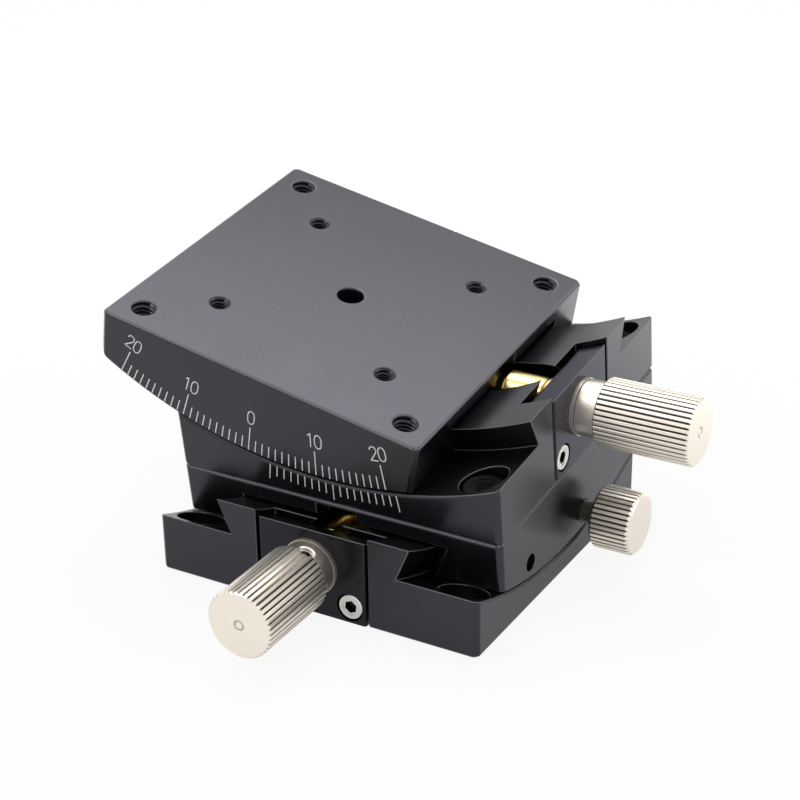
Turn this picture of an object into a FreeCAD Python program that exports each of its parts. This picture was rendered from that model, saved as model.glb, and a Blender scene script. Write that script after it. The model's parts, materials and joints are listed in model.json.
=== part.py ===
"""Two-axis goniometer stage: two equal worm-driven units, the upper one turned a quarter turn.

A unit's own frame: X runs along the travel with the knob at +X, Y runs along the tilt axis
with the scale on the -Y face and the lock screw on the +Y face, and Z is up from the bottom.
Pieces round the tilt axis or the worm are drawn about that axis and placed from the unit's frame.
"""
import FreeCAD, Part
import Sketcher
import math
import os
import re

Vector = FreeCAD.Vector
Rotation = FreeCAD.Rotation
Placement = FreeCAD.Placement

# Driving dimensions, in millimetres and degrees
SIZES = {
    # the two units
    "plate_side": 60.0,
    "unit_height": 19.4,
    "centre_height": 60.0,
    "tilt_limit": 20.0,
    "lower_tilt": 7.0,
    "upper_tilt": 12.3,
    "corner_chamfer": 0.8,
    "edge_chamfer": 0.4,
    "arc_chamfer": 0.25,
    # the curved dovetail, as depths under the table's top at mid travel
    "rail_top_depth": 10.0,
    "flange_depth": 15.0,
    "seam_gap": 0.3,
    "roof_gap": 0.4,
    "rail_top_half": 18.0,
    "rail_root_half": 15.5,
    "slide_clearance": 0.05,
    # the gib and the screws in the table's side
    "gib_width": 2.2,
    "gib_half_angle": 22.5,
    "gib_edge_gap": 0.15,
    "gib_screw_depth": 12.2,
    "gib_screw_angle": 16.3,
    "gib_screw_length": 4.0,
    "gib_screw_tip_radius": 0.75,
    "gib_screw_cone": 1.0,
    "lock_depth": 12.1,
    "lock_stem_show": 3.0,
    "lock_head_length": 7.2,
    "lock_head_radius": 5.6,
    "lock_tip_radius": 1.2,
    "lock_tip_length": 1.3,
    # the worm and its wheel
    "worm_depth": 10.7,
    "worm_radius": 3.2,
    "worm_root_radius": 2.1,
    "addendum": 0.5,
    "pressure_angle": 20.0,
    "wheel_teeth": 180.0,
    "mesh_clearance": 0.1,
    "backlash": 0.1,
    "thread_flats": 12.0,
    "thread_run_out": 0.05,
    "worm_rear": 5.0,
    "thread_front": 15.6,
    "shoulder_start": 16.8,
    "shoulder_radius": 3.45,
    "shoulder_chamfer": 0.4,
    "end_play": 0.1,
    "wheel_half_width": 4.0,
    "wheel_back_depth": 4.0,
    "wheel_skin": 1.4,
    "wheel_end_land": 0.6,
    "channel_end_gap": 0.1,
    "wheel_side_gap": 0.05,
    "worm_path_gap": 0.2,
    "lug_half_width": 8.2,
    "lug_half_angle": 13.5,
    "lug_depth": 6.2,
    "wheel_screw_x": 11.5,
    "wheel_screw_y": 6.1,
    "wheel_screw_seat": 4.5,
    "wheel_screw_top": 1.0,
    # the shaft and its bearings
    "shaft_radius": 1.5,
    "shaft_setback": 0.5,
    "shaft_clearance": 0.03,
    "seat_clearance": 0.02,
    "bush_radius": 3.0,
    "bush_flange_radius": 3.5,
    "rear_bush_length": 6.0,
    "bore_radius": 5.45,
    "bore_end": 16.0,
    # the end pocket and the worm bracket in it
    "pocket_depth": 5.8,
    "pocket_half_width": 10.5,
    "bracket_thickness": 4.8,
    "bracket_half_width": 9.95,
    "bracket_bottom": 0.05,
    "bracket_top_depth": 10.9,
    "bracket_foot_drop": 3.8,
    "bracket_screw_y": 7.04,
    "bracket_screw_height": 2.86,
    "bracket_easing": 0.3,
    # the knob
    "washer_gap": 0.03,
    "washer_thickness": 0.7,
    "washer_radius": 4.9,
    "collar_radius": 4.75,
    "collar_length": 3.65,
    "grip_radius": 5.75,
    "grip_length": 16.3,
    "grip_chamfer": 0.35,
    "flute_count": 40.0,
    "flute_depth": 0.25,
    "flute_width": 0.62,
    "dimple_radius": 0.9,
    "dimple_depth": 0.5,
    "shaft_in_knob": 12.0,
    "set_screw_setback": 0.6,
    "set_screw_sink": 0.75,
    "lower_set_screw_angle": -19.4,
    "upper_set_screw_angle": -160.0,
    # the screws: thread radius, head radius and head height
    "thread_clearance": 0.05,
    "m2_radius": 1.0,
    "m2_head_radius": 1.9,
    "m2_head_height": 1.3,
    "m25_radius": 1.25,
    "m25_head_radius": 2.25,
    "m25_head_height": 2.5,
    "m3_radius": 1.5,
    "m4_radius": 2.0,
    "m4_head_radius": 3.5,
    "m4_head_height": 4.0,
    "head_clearance": 0.2,
    "head_sink": 0.1,
    # holes in the plates
    "m4_inset": 5.0,
    "m4_hole_depth": 9.0,
    "m3_pitch": 32.0,
    "m3_hole_depth": 6.0,
    "centre_hole_radius": 2.25,
    "centre_hole_depth": 3.5,
    "hole_chamfer": 0.3,
    "through_radius": 2.25,
    "counterbore_radius": 4.0,
    "counterbore_depth": 16.4,
    "joining_reach": 7.0,
    "bracket_screw_reach": 6.5,
    "tap_spare": 1.0,
}

# Places and sizes worked out from them, as expressions for the sheet
HALF = "(plate_side / 2)"
TILT_HEIGHT = "(unit_height + centre_height)"
RAIL_TOP = "(centre_height + rail_top_depth)"
FLANGE = "(centre_height + flange_depth)"
WING = f"({FLANGE} + seam_gap)"
ROOF = f"({RAIL_TOP} - roof_gap)"
SKIN = "(unit_height - wheel_skin)"
SLOPE = f"((rail_top_half - rail_root_half) / ({WING} - {RAIL_TOP}))"
SLIDE_PLAY = f"(slide_clearance * sqrt(1 + {SLOPE} ^ 2))"
WORM_HEIGHT = "(unit_height - worm_depth)"
WORM_AXIS = "(centre_height + worm_depth)"
WORM_PITCH_RADIUS = "(worm_radius - addendum)"
WHEEL_PITCH_RADIUS = f"({WORM_AXIS} - {WORM_PITCH_RADIUS})"
WHEEL_ROOT = f"({WORM_AXIS} - worm_radius - mesh_clearance)"
WHEEL_TIP = f"({WORM_AXIS} - worm_root_radius - mesh_clearance)"
WHEEL_BACK = "(centre_height + wheel_back_depth)"
TOOTH_ANGLE = "(360 / wheel_teeth)"
PITCH = f"(2 * pi * {WHEEL_PITCH_RADIUS} / wheel_teeth)"
SIDE_GROOVES = f"(floor(tilt_limit / {TOOTH_ANGLE}) + 1)"
WHEEL_HALF_ANGLE = f"({SIDE_GROOVES} * {TOOTH_ANGLE} + wheel_end_land)"
LEAD = f"({PITCH} / (2 * pi * {WORM_PITCH_RADIUS}))"
POCKET_WALL = f"({HALF} - pocket_depth)"
BRACKET_BACK = f"({HALF} - bracket_thickness)"
FOOT_TOP = f"({WORM_HEIGHT} - bracket_foot_drop)"
COUNTERBORE_FLOOR = "(unit_height - counterbore_depth)"
KNOB_START = f"({HALF} + 2 * washer_gap + washer_thickness)"
GRIP_START = f"({KNOB_START} + collar_length)"
KNOB_END = f"({GRIP_START} + grip_length)"
SET_SCREW_X = f"({GRIP_START} - set_screw_setback)"
SHAFT_BACK = "(bore_end + rear_bush_length - shaft_setback)"
LOCK_RADIUS = "(centre_height + lock_depth)"
GIB_SCREW_RADIUS = "(centre_height + gib_screw_depth)"
GIB_SCREW_X = f"({GIB_SCREW_RADIUS} * sin(gib_screw_angle))"
GIB_SCREW_HEIGHT = f"({TILT_HEIGHT} - {GIB_SCREW_RADIUS} * cos(gib_screw_angle))"
SWEEP = "(4 * tilt_limit)"
M4_PLACE = f"({HALF} - m4_inset)"
M3_PLACE = "(m3_pitch / 2)"

doc = FreeCAD.newDocument("goniometer_stage")
sheet = doc.addObject("Spreadsheet::Sheet", "Sizes")
for row, (name, size) in enumerate(SIZES.items(), start=1):
    sheet.set(f"A{row}", name.replace("_", " "))
    sheet.set(f"B{row}", str(size))
    sheet.setAlias(f"B{row}", name)
doc.recompute()


def cells(text):
    """Point each size's name in an expression at its cell."""
    return re.sub(r"[a-z][a-z0-9_]*", lambda word: f"Sizes.{word[0]}" if word[0] in SIZES else word[0], text)


def value(text):
    """Work an expression out from the sheet."""
    return float(sheet.evalExpression(cells(text)))


def bind(thing, prop, text):
    """Bind a property to an expression of the sheet's sizes."""
    thing.setExpression(prop, cells(text))


def flank(radius):
    """Half width of the rail at a radius from the tilt axis."""
    return f"(rail_top_half - ({radius} - {RAIL_TOP}) * {SLOPE})"


def new_body(name):
    """Start a sub-part."""
    body = doc.addObject("PartDesign::Body", name)
    body.Label = name
    return body


def origin_feature(body, role):
    """Find one of the body's own origin planes or axes."""
    return next(part for part in body.Origin.OriginFeatures if part.Role == role)


def new_sketch(body, name, plane, up="0", lift="0"):
    """Attach a sketch to an origin plane, moved up the sheet and lifted off the plane."""
    sketch = body.newObject("Sketcher::SketchObject", f"{body.Label}_{name}")
    sketch.AttachmentSupport = [(origin_feature(body, plane), "")]
    sketch.MapMode = "FlatFace"
    bind(sketch, "AttachmentOffset.Base.y", up)
    bind(sketch, "AttachmentOffset.Base.z", lift)
    return sketch


def pin_point(sketch, line, point, across, along):
    """Bind a point's two distances from the sketch's origin."""
    for kind, axis, text in (("DistanceX", -2, across), ("DistanceY", -1, along)):
        size = value(text)
        if abs(size) < 1e-9:
            sketch.addConstraint(Sketcher.Constraint("PointOnObject", line, point, axis))
        else:
            row = sketch.addConstraint(Sketcher.Constraint(kind, -1, 1, line, point, size))
            bind(sketch, f"Constraints[{row}]", text)


def draw_outline(sketch, corners):
    """Draw a closed outline of straight lines through the corners."""
    first = sketch.GeometryCount
    count = len(corners)
    places = [Vector(value(across), value(along), 0) for across, along in corners]
    for number in range(count):
        sketch.addGeometry(Part.LineSegment(places[number], places[(number + 1) % count]), False)
    for number, (across, along) in enumerate(corners):
        following = first + (number + 1) % count
        sketch.addConstraint(Sketcher.Constraint("Coincident", first + number, 2, following, 1))
        pin_point(sketch, first + number, 1, across, along)


def draw_circles(sketch, radius, centres):
    """Draw equal circles at the given centres."""
    for across, along in centres:
        middle = Vector(value(across), value(along), 0)
        line = sketch.addGeometry(Part.Circle(middle, Vector(0, 0, 1), value(radius)), False)
        pin_point(sketch, line, 3, across, along)
        row = sketch.addConstraint(Sketcher.Constraint("Radius", line, value(radius)))
        bind(sketch, f"Constraints[{row}]", radius)


def draw_box(sketch, left, right, bottom, top):
    """Draw an upright rectangle."""
    draw_outline(sketch, [(left, bottom), (right, bottom), (right, top), (left, top)])


def square_corners(place):
    """Four centres of a square pattern."""
    return [(f"{x}{place}", f"{y}{place}") for x in ("", "-") for y in ("", "-")]


def new_feature(body, kind, name, sketch):
    """Start a feature that is made from a sketch."""
    feature = body.newObject(f"PartDesign::{kind}", f"{body.Label}_{name}")
    feature.Profile = sketch
    return feature


def add_pad(body, name, sketch, length, midplane=False):
    """Extrude a sketch into material."""
    feature = new_feature(body, "Pad", name, sketch)
    if midplane:
        feature.SideType = "Symmetric"
    bind(feature, "Length", length)
    doc.recompute()
    return feature


def add_turned(body, name, sketch, axis="H_Axis", angle="360"):
    """Revolve a sketch into material, evenly to both sides of it."""
    feature = new_feature(body, "Revolution", name, sketch)
    feature.ReferenceAxis = (sketch, [axis])
    feature.Midplane = True
    bind(feature, "Angle", angle)
    doc.recompute()
    return feature


def must_remove(body, before, name):
    """Stop when a cut took nothing away."""
    doc.recompute()
    if not body.Shape.Volume < before - 1e-6:
        raise ValueError(f"{body.Label} {name} removes nothing")


def cut_pocket(body, name, sketch, length, forward=False, midplane=False):
    """Cut a sketch into the body, against the sketch's normal unless forward."""
    before = body.Shape.Volume
    feature = new_feature(body, "Pocket", name, sketch)
    feature.Reversed = forward
    if midplane:
        feature.SideType = "Symmetric"
    bind(feature, "Length", length)
    must_remove(body, before, name)
    return feature


def cut_groove(body, name, sketch, angle=SWEEP):
    """Turn a sketch about the tilt axis and cut it away."""
    before = body.Shape.Volume
    feature = new_feature(body, "Groove", name, sketch)
    feature.ReferenceAxis = (sketch, ["H_Axis"])
    feature.Midplane = True
    bind(feature, "Angle", angle)
    must_remove(body, before, name)
    return feature


def add_pattern(body, name, original, sketch, count, angle="360", backward=False):
    """Repeat a feature round the axis through its sketch's origin."""
    feature = body.newObject("PartDesign::PolarPattern", f"{body.Label}_{name}")
    feature.Originals = [original]
    feature.Axis = (sketch, ["N_Axis"])
    feature.Reversed = backward
    bind(feature, "Angle", angle)
    bind(feature, "Occurrences", count)
    body.Tip = feature
    doc.recompute()
    return feature


def add_mirror(body, name, original, plane):
    """Repeat a feature on the other side of an origin plane."""
    feature = body.newObject("PartDesign::Mirrored", f"{body.Label}_{name}")
    feature.Originals = [original]
    feature.MirrorPlane = (origin_feature(body, plane), [""])
    body.Tip = feature
    doc.recompute()
    return feature


def ease_edges(body, name, size, wanted):
    """Chamfer the edges that the test picks out."""
    base = body.Tip
    edges = [f"Edge{number}" for number, edge in enumerate(base.Shape.Edges, start=1) if wanted(edge)]
    feature = body.newObject("PartDesign::Chamfer", f"{body.Label}_{name}")
    feature.Base = (base, edges)
    bind(feature, "Size", size)
    doc.recompute()


def ends(edge):
    """The two end points of an edge."""
    return [vertex.Point for vertex in edge.Vertexes]


def is_round(edge):
    """True for a circle or an arc."""
    return isinstance(edge.Curve, Part.Circle)


def upright(edge):
    """True for a straight edge along Z."""
    return not is_round(edge) and abs(edge.tangentAt(edge.FirstParameter).z) > 0.999


def at_height(edge, height):
    """True for a level edge at a height."""
    return all(abs(point.z - height) < 1e-4 for point in ends(edge))


def side_arc(edge, radius):
    """True for an arc of that radius along the plate's -Y or +Y face."""
    flat = is_round(edge) and abs(edge.Curve.Radius - radius) < 1e-4
    return flat and all(abs(abs(point.y) - value(HALF)) < 1e-4 for point in ends(edge))


def draw_plate(sketch):
    """Draw the square plate with its small cut corners."""
    half = HALF
    cut = f"({HALF} - corner_chamfer)"
    draw_outline(sketch, [
        (half, f"-{cut}"), (half, cut), (cut, half), (f"-{cut}", half),
        (f"-{half}", cut), (f"-{half}", f"-{cut}"), (f"-{cut}", f"-{half}"), (cut, f"-{half}"),
    ])


def make_base(unit):
    """Base block with the curved rail, the end pocket, the worm bore and the mounting holes."""
    body = new_body(f"{unit}_base")
    outline = new_sketch(body, "outline", "XY_Plane")
    draw_plate(outline)
    add_pad(body, "block", outline, "unit_height")

    seat = new_sketch(body, "rail_profile", "YZ_Plane", up=TILT_HEIGHT)
    wide = "plate_side"
    over = "(centre_height - unit_height)"
    draw_outline(seat, [
        (f"-{wide}", f"-{over}"), (f"-{wide}", f"-{WING}"), ("-rail_root_half", f"-{WING}"),
        ("-rail_top_half", f"-{RAIL_TOP}"), ("rail_top_half", f"-{RAIL_TOP}"),
        ("rail_root_half", f"-{WING}"), (wide, f"-{WING}"), (wide, f"-{over}"),
    ])
    cut_groove(body, "rail", seat)
    wing = value(WING)
    ease_edges(body, "arc_easing", "arc_chamfer", lambda edge: side_arc(edge, wing))
    ease_edges(body, "foot_easing", "edge_chamfer", lambda edge: at_height(edge, 0))

    end = new_sketch(body, "end_outline", "XY_Plane")
    draw_box(end, POCKET_WALL, "plate_side", "-pocket_half_width", "pocket_half_width")
    cut_pocket(body, "end_pocket", end, "unit_height", forward=True)

    bores = [
        ("worm_bore", "bore_radius", f"({HALF} + bore_end)"),
        ("bush_seat", "(bush_radius + seat_clearance)", f"({HALF} + bore_end + rear_bush_length)"),
    ]
    for name, radius, length in bores:
        ring = new_sketch(body, f"{name}_ring", "YZ_Plane", up=WORM_HEIGHT, lift=HALF)
        draw_circles(ring, radius, [("0", "0")])
        cut_pocket(body, name, ring, length)

    taps = new_sketch(body, "bracket_tap_rings", "YZ_Plane", lift=HALF)
    places = [(f"{side}bracket_screw_y", "bracket_screw_height") for side in ("", "-")]
    draw_circles(taps, "m25_radius", places)
    cut_pocket(body, "bracket_taps", taps, "(pocket_depth + bracket_screw_reach + tap_spare)")

    through = new_sketch(body, "mounting_rings", "XY_Plane")
    draw_circles(through, "through_radius", square_corners(M4_PLACE))
    cut_pocket(body, "mounting_holes", through, "unit_height", forward=True)
    sunk = new_sketch(body, "counterbore_rings", "XY_Plane", lift=COUNTERBORE_FLOOR)
    draw_circles(sunk, "counterbore_radius", square_corners(M4_PLACE))
    cut_pocket(body, "counterbores", sunk, "unit_height", forward=True)
    return body


def make_table(unit):
    """Table that rides on the rail, with the gib's and the wheel's channels and the tapped holes."""
    body = new_body(f"{unit}_table")
    low = "(unit_height - flange_depth)"
    outline = new_sketch(body, "outline", "XY_Plane", lift=low)
    draw_plate(outline)
    add_pad(body, "block", outline, f"({SKIN} - {low})")

    under = new_sketch(body, "underside_profile", "YZ_Plane", up=TILT_HEIGHT)
    draw_box(under, "-plate_side", "plate_side", f"-({FLANGE} + plate_side)", f"-{FLANGE}")
    cut_groove(body, "underside", under)

    slot = new_sketch(body, "slot_profile", "YZ_Plane", up=TILT_HEIGHT)
    far = f"({SLIDE_PLAY} + gib_width + seat_clearance)"
    draw_outline(slot, [
        (f"-({flank(ROOF)} + {SLIDE_PLAY})", f"-{ROOF}"), (f"-({flank(WING)} + {SLIDE_PLAY})", f"-{WING}"),
        (f"({flank(WING)} + {far})", f"-{WING}"), (f"({flank(ROOF)} + {far})", f"-{ROOF}"),
    ])
    cut_groove(body, "slot", slot)

    recesses = [
        ("wheel_channel", "wheel_half_width", WHEEL_HALF_ANGLE),
        ("lug_channel", "lug_half_width", "lug_half_angle"),
    ]
    for name, width, half_angle in recesses:
        side = f"({width} + wheel_side_gap)"
        channel = new_sketch(body, f"{name}_profile", "YZ_Plane", up=TILT_HEIGHT)
        draw_box(channel, f"-{side}", side, f"-{RAIL_TOP}", f"-({WHEEL_BACK} - wheel_side_gap)")
        cut_groove(body, name, channel, angle=f"(2 * ({half_angle} + channel_end_gap))")

    top = new_sketch(body, "skin_outline", "XY_Plane", lift=SKIN)
    draw_plate(top)
    add_pad(body, "skin", top, "wheel_skin")
    height = value("unit_height")
    flange = value(FLANGE)
    ease_edges(body, "top_easing", "edge_chamfer", lambda edge: at_height(edge, height))
    ease_edges(body, "arc_easing", "arc_chamfer", lambda edge: side_arc(edge, flange))

    path = new_sketch(body, "worm_path_outline", "XZ_Plane", up=TILT_HEIGHT)
    reach = f"({WORM_AXIS} - worm_radius - worm_path_gap)"
    start = (f"({reach} * sin(tilt_limit))", f"-({reach} * cos(tilt_limit))")
    beyond = "plate_side"
    draw_outline(path, [
        start, (start[0], f"-{WING}"), (beyond, f"-{WING}"),
        (beyond, f"({start[1]} + ({beyond} - {start[0]}) * tan(tilt_limit))"),
    ])
    end = cut_pocket(body, "worm_path", path, "(2 * (shoulder_radius + seam_gap))", midplane=True)
    add_mirror(body, "worm_path_behind", end, "YZ_Plane")

    holes = [
        ("m4_holes", "m4_radius", square_corners(M4_PLACE), "m4_hole_depth"),
        ("m3_holes", "m3_radius", square_corners(M3_PLACE), "m3_hole_depth"),
        ("centre_hole", "centre_hole_radius", [("0", "0")], "centre_hole_depth"),
    ]
    for name, radius, places, depth in holes:
        rings = new_sketch(body, f"{name}_rings", "XY_Plane", lift="unit_height")
        draw_circles(rings, radius, places)
        cut_pocket(body, name, rings, depth)

    wheel_taps = new_sketch(body, "wheel_tap_rings", "XY_Plane", lift="(unit_height - wheel_screw_top)")
    draw_circles(wheel_taps, "m2_radius", wheel_screw_places())
    cut_pocket(body, "wheel_taps", wheel_taps, "wheel_back_depth")

    side_taps = [
        ("lock_tap", "m4_radius", [("0", f"({TILT_HEIGHT} - {LOCK_RADIUS})")]),
        ("gib_taps", "m3_radius", [(GIB_SCREW_X, GIB_SCREW_HEIGHT), (f"-{GIB_SCREW_X}", GIB_SCREW_HEIGHT)]),
    ]
    for name, radius, places in side_taps:
        rings = new_sketch(body, f"{name}_rings", "XZ_Plane", lift=f"-{HALF}")
        draw_circles(rings, radius, places)
        cut_pocket(body, name, rings, f"({HALF} - rail_root_half)", forward=True)

    ease_edges(body, "hole_easing", "hole_chamfer", lambda edge: is_round(edge) and at_height(edge, height))
    return body


def wheel_screw_places():
    """The two wheel screws, one on each side of the teeth."""
    return [("wheel_screw_x", "wheel_screw_y"), ("-wheel_screw_x", "-wheel_screw_y")]


def make_gib(unit):
    """Curved strip with slanted sides that fills the dovetail on the lock screw's side."""
    body = new_body(f"{unit}_gib")
    profile = new_sketch(body, "profile", "YZ_Plane")
    top = f"({ROOF} + gib_edge_gap)"
    bottom = f"({FLANGE} - gib_edge_gap)"
    outer = f"({SLIDE_PLAY} + gib_width)"
    draw_outline(profile, [
        (f"({flank(top)} + {SLIDE_PLAY})", f"-{top}"), (f"({flank(bottom)} + {SLIDE_PLAY})", f"-{bottom}"),
        (f"({flank(bottom)} + {outer})", f"-{bottom}"), (f"({flank(top)} + {outer})", f"-{top}"),
    ])
    add_turned(body, "strip", profile, angle="(2 * gib_half_angle)")
    return body


def gib_back(radius):
    """Distance from mid plane to the gib's outer side at a radius from the tilt axis."""
    return f"({flank(radius)} + {SLIDE_PLAY} + gib_width + 2 * seat_clearance)"


def make_gib_screws(unit):
    """Two pointed set screws that back the gib."""
    body = new_body(f"{unit}_gib_screws")
    screw = new_sketch(body, "profile", "XY_Plane", lift=GIB_SCREW_HEIGHT)
    screw_radius = "(m3_radius - thread_clearance)"
    tip = gib_back(f"({GIB_SCREW_RADIUS} - gib_screw_tip_radius)")
    shoulder = f"({tip} + gib_screw_cone)"
    draw_outline(screw, [
        (GIB_SCREW_X, tip), (f"({GIB_SCREW_X} + gib_screw_tip_radius)", tip),
        (f"({GIB_SCREW_X} + {screw_radius})", shoulder),
        (f"({GIB_SCREW_X} + {screw_radius})", f"({shoulder} + gib_screw_length)"),
        (GIB_SCREW_X, f"({shoulder} + gib_screw_length)"),
    ])
    one = new_feature(body, "Revolution", "screw", screw)
    one.ReferenceAxis = (screw, ["Edge5"])
    one.Angle = 360
    doc.recompute()
    add_mirror(body, "pair", one, "YZ_Plane")
    return body


def draw_turned(sketch, stations):
    """Draw half the section of a turned piece from its stations along the axis."""
    draw_outline(sketch, [(stations[0][0], "0")] + stations + [(stations[-1][0], "0")])


def cut_flutes(body, radius, start, length):
    """Cut straight flutes round a grip that is turned about X."""
    before = body.Shape.Volume
    flute = new_sketch(body, "flute_profile", "YZ_Plane", lift=start)
    mouth = f"({radius} + flute_depth)"
    draw_outline(flute, [("-flute_width", mouth), ("0", f"({radius} - flute_depth)"), ("flute_width", mouth)])
    first = new_feature(body, "Pocket", "flute", flute)
    first.Reversed = True
    bind(first, "Length", length)
    doc.recompute()
    add_pattern(body, "flutes", first, flute, "flute_count")
    must_remove(body, before, "flutes")


def make_lock_screw(unit):
    """Thumbscrew that clamps the table: fluted head, threaded stem and a narrow tip."""
    body = new_body(f"{unit}_lock_screw")
    section = new_sketch(body, "section", "XY_Plane")
    head = f"({HALF} + lock_stem_show)"
    head_end = f"({head} + lock_head_length)"
    tip = gib_back(f"({LOCK_RADIUS} - lock_tip_radius)")
    neck = f"({tip} + lock_tip_length)"
    stem_radius = "(m4_radius - thread_clearance)"
    draw_turned(section, [
        (tip, "lock_tip_radius"), (neck, "lock_tip_radius"), (neck, stem_radius), (head, stem_radius),
        (head, "(lock_head_radius - grip_chamfer)"), (f"({head} + grip_chamfer)", "lock_head_radius"),
        (f"({head_end} - grip_chamfer)", "lock_head_radius"), (head_end, "(lock_head_radius - grip_chamfer)"),
    ])
    add_turned(body, "turned", section)
    cut_flutes(body, "lock_head_radius", head, "lock_head_length")
    return body


def make_wheel(unit):
    """Toothed segment under the table, with lugs for its screws and slanted grooves for the worm."""
    body = new_body(f"{unit}_wheel_segment")
    rim = new_sketch(body, "rim_profile", "YZ_Plane")
    draw_box(rim, "-wheel_half_width", "wheel_half_width", f"-{WHEEL_TIP}", f"-{WHEEL_BACK}")
    add_turned(body, "rim", rim, angle=f"(2 * {WHEEL_HALF_ANGLE})")
    lugs = new_sketch(body, "lug_profile", "YZ_Plane")
    draw_box(lugs, "-lug_half_width", "lug_half_width", "-(centre_height + lug_depth)", f"-{WHEEL_BACK}")
    add_turned(body, "lugs", lugs, angle="(2 * lug_half_angle)")

    flat = new_sketch(body, "flat_outline", "XY_Plane", lift="-(centre_height + wheel_skin)")
    draw_box(flat, "-plate_side", "plate_side", "-plate_side", "plate_side")
    cut_pocket(body, "flat_back", flat, "unit_height", forward=True)

    tooth_gap = new_sketch(body, "gap_profile", "XZ_Plane")
    spread = "tan(pressure_angle)"
    middle = f"({PITCH} / 4 + backlash / 2)"
    mouth_radius = f"({WHEEL_TIP} + mesh_clearance)"
    root = f"({middle} - ({WHEEL_PITCH_RADIUS} - {WHEEL_ROOT}) * {spread})"
    mouth = f"({middle} + ({mouth_radius} - {WHEEL_PITCH_RADIUS}) * {spread})"
    draw_outline(tooth_gap, [
        (f"-{mouth}", f"-{mouth_radius}"), (mouth, f"-{mouth_radius}"),
        (root, f"-{WHEEL_ROOT}"), (f"-{root}", f"-{WHEEL_ROOT}"),
    ])
    before = body.Shape.Volume
    gap = new_feature(body, "Pocket", "gap", tooth_gap)
    gap.UseCustomVector = True
    gap.Direction = Vector(-value(LEAD), 1, 0)
    gap.SideType = "Symmetric"
    bind(gap, "Length", "(4 * wheel_half_width)")
    must_remove(body, before, "gap")
    for name, backward in (("gaps_forward", False), ("gaps_backward", True)):
        copies = f"({SIDE_GROOVES} + 1)"
        add_pattern(body, name, gap, tooth_gap, copies, f"({SIDE_GROOVES} * {TOOTH_ANGLE})", backward)

    seats = new_sketch(body, "seat_rings", "XY_Plane", lift="-(centre_height + wheel_screw_seat)")
    draw_circles(seats, "(m2_head_radius + thread_clearance)", wheel_screw_places())
    cut_pocket(body, "screw_seats", seats, "wheel_screw_seat")
    bores = new_sketch(body, "screw_rings", "XY_Plane", lift="-centre_height")
    draw_circles(bores, "(m2_radius + thread_clearance)", wheel_screw_places())
    cut_pocket(body, "screw_holes", bores, "(2 * wheel_screw_seat)")
    return body


def make_wheel_screws(unit):
    """Two screws that hold the wheel segment up in the table."""
    body = new_body(f"{unit}_wheel_screws")
    shanks = new_sketch(body, "shank_rings", "XY_Plane", lift="-(centre_height + wheel_screw_seat)")
    draw_circles(shanks, "(m2_radius - thread_clearance)", wheel_screw_places())
    add_pad(body, "shanks", shanks, "(wheel_screw_seat - wheel_screw_top - head_sink)")
    head_lift = "-(centre_height + wheel_screw_seat + m2_head_height)"
    heads = new_sketch(body, "head_rings", "XY_Plane", lift=head_lift)
    draw_circles(heads, "m2_head_radius", wheel_screw_places())
    add_pad(body, "heads", heads, "m2_head_height")
    return body


def thread_solid(start, end, run_out, pitch, root, crest, half_root, half_crest, flats):
    """Right-handed ridge on a core, flat-sided, with a crest on top of the axis at the origin.

    Each row across the ridge has four points: the root, the crest, the crest and the root again.
    The root on one side of a turn meets the next turn's root across a flat strip.
    """
    first = math.ceil((start + half_root + run_out) / pitch * flats)
    last = math.floor((end - half_root - run_out) / pitch * flats)

    def place(number, radius, along):
        angle = math.pi / 2 + 2 * math.pi * number / flats
        return Vector(along, radius * math.cos(angle), radius * math.sin(angle))

    def ridge(number, radius, shift):
        return place(number, radius, pitch * number / flats + shift)

    rows = {
        number: [
            ridge(number, root, -half_root), ridge(number, crest, -half_crest),
            ridge(number, crest, half_crest), ridge(number, root, half_root),
        ]
        for number in range(first, last + 1)
    }
    outlines = [rows[first], rows[last]]
    for number in range(first, last):
        near = rows[number]
        far = rows[number + 1]
        outlines.append([near[1], near[2], far[2], far[1]])
        for inner, outer in ((0, 1), (3, 2)):
            outlines.append([near[inner], near[outer], far[outer]])
            outlines.append([near[inner], far[outer], far[inner]])
        if number + 1 + flats <= last:
            outlines.append([near[3], far[3], rows[number + 1 + flats][0], rows[number + flats][0]])
    for number in range(first, first + flats):
        strip = [place(number, root, start), place(number + 1, root, start)]
        if number == first + flats - 1:
            strip += [rows[first][0], rows[first][3]]
        outlines.append(strip + [rows[number + 1][0], rows[number][0]])
    for number in range(last - flats, last):
        strip = [rows[number][3], rows[number + 1][3], place(number + 1, root, end), place(number, root, end)]
        if number == last - flats:
            strip += [rows[last][3], rows[last][0]]
        outlines.append(strip)
    for along in (start, end):
        outlines.append([place(number, root, along) for number in range(flats)])
    faces = [Part.Face(Part.makePolygon(outline + outline[:1])) for outline in outlines]
    shell = Part.makeShell(faces)
    shell.sewShape()
    solid = Part.makeSolid(shell)
    if solid.Volume < 0:
        solid.reverse()
    return solid


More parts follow.
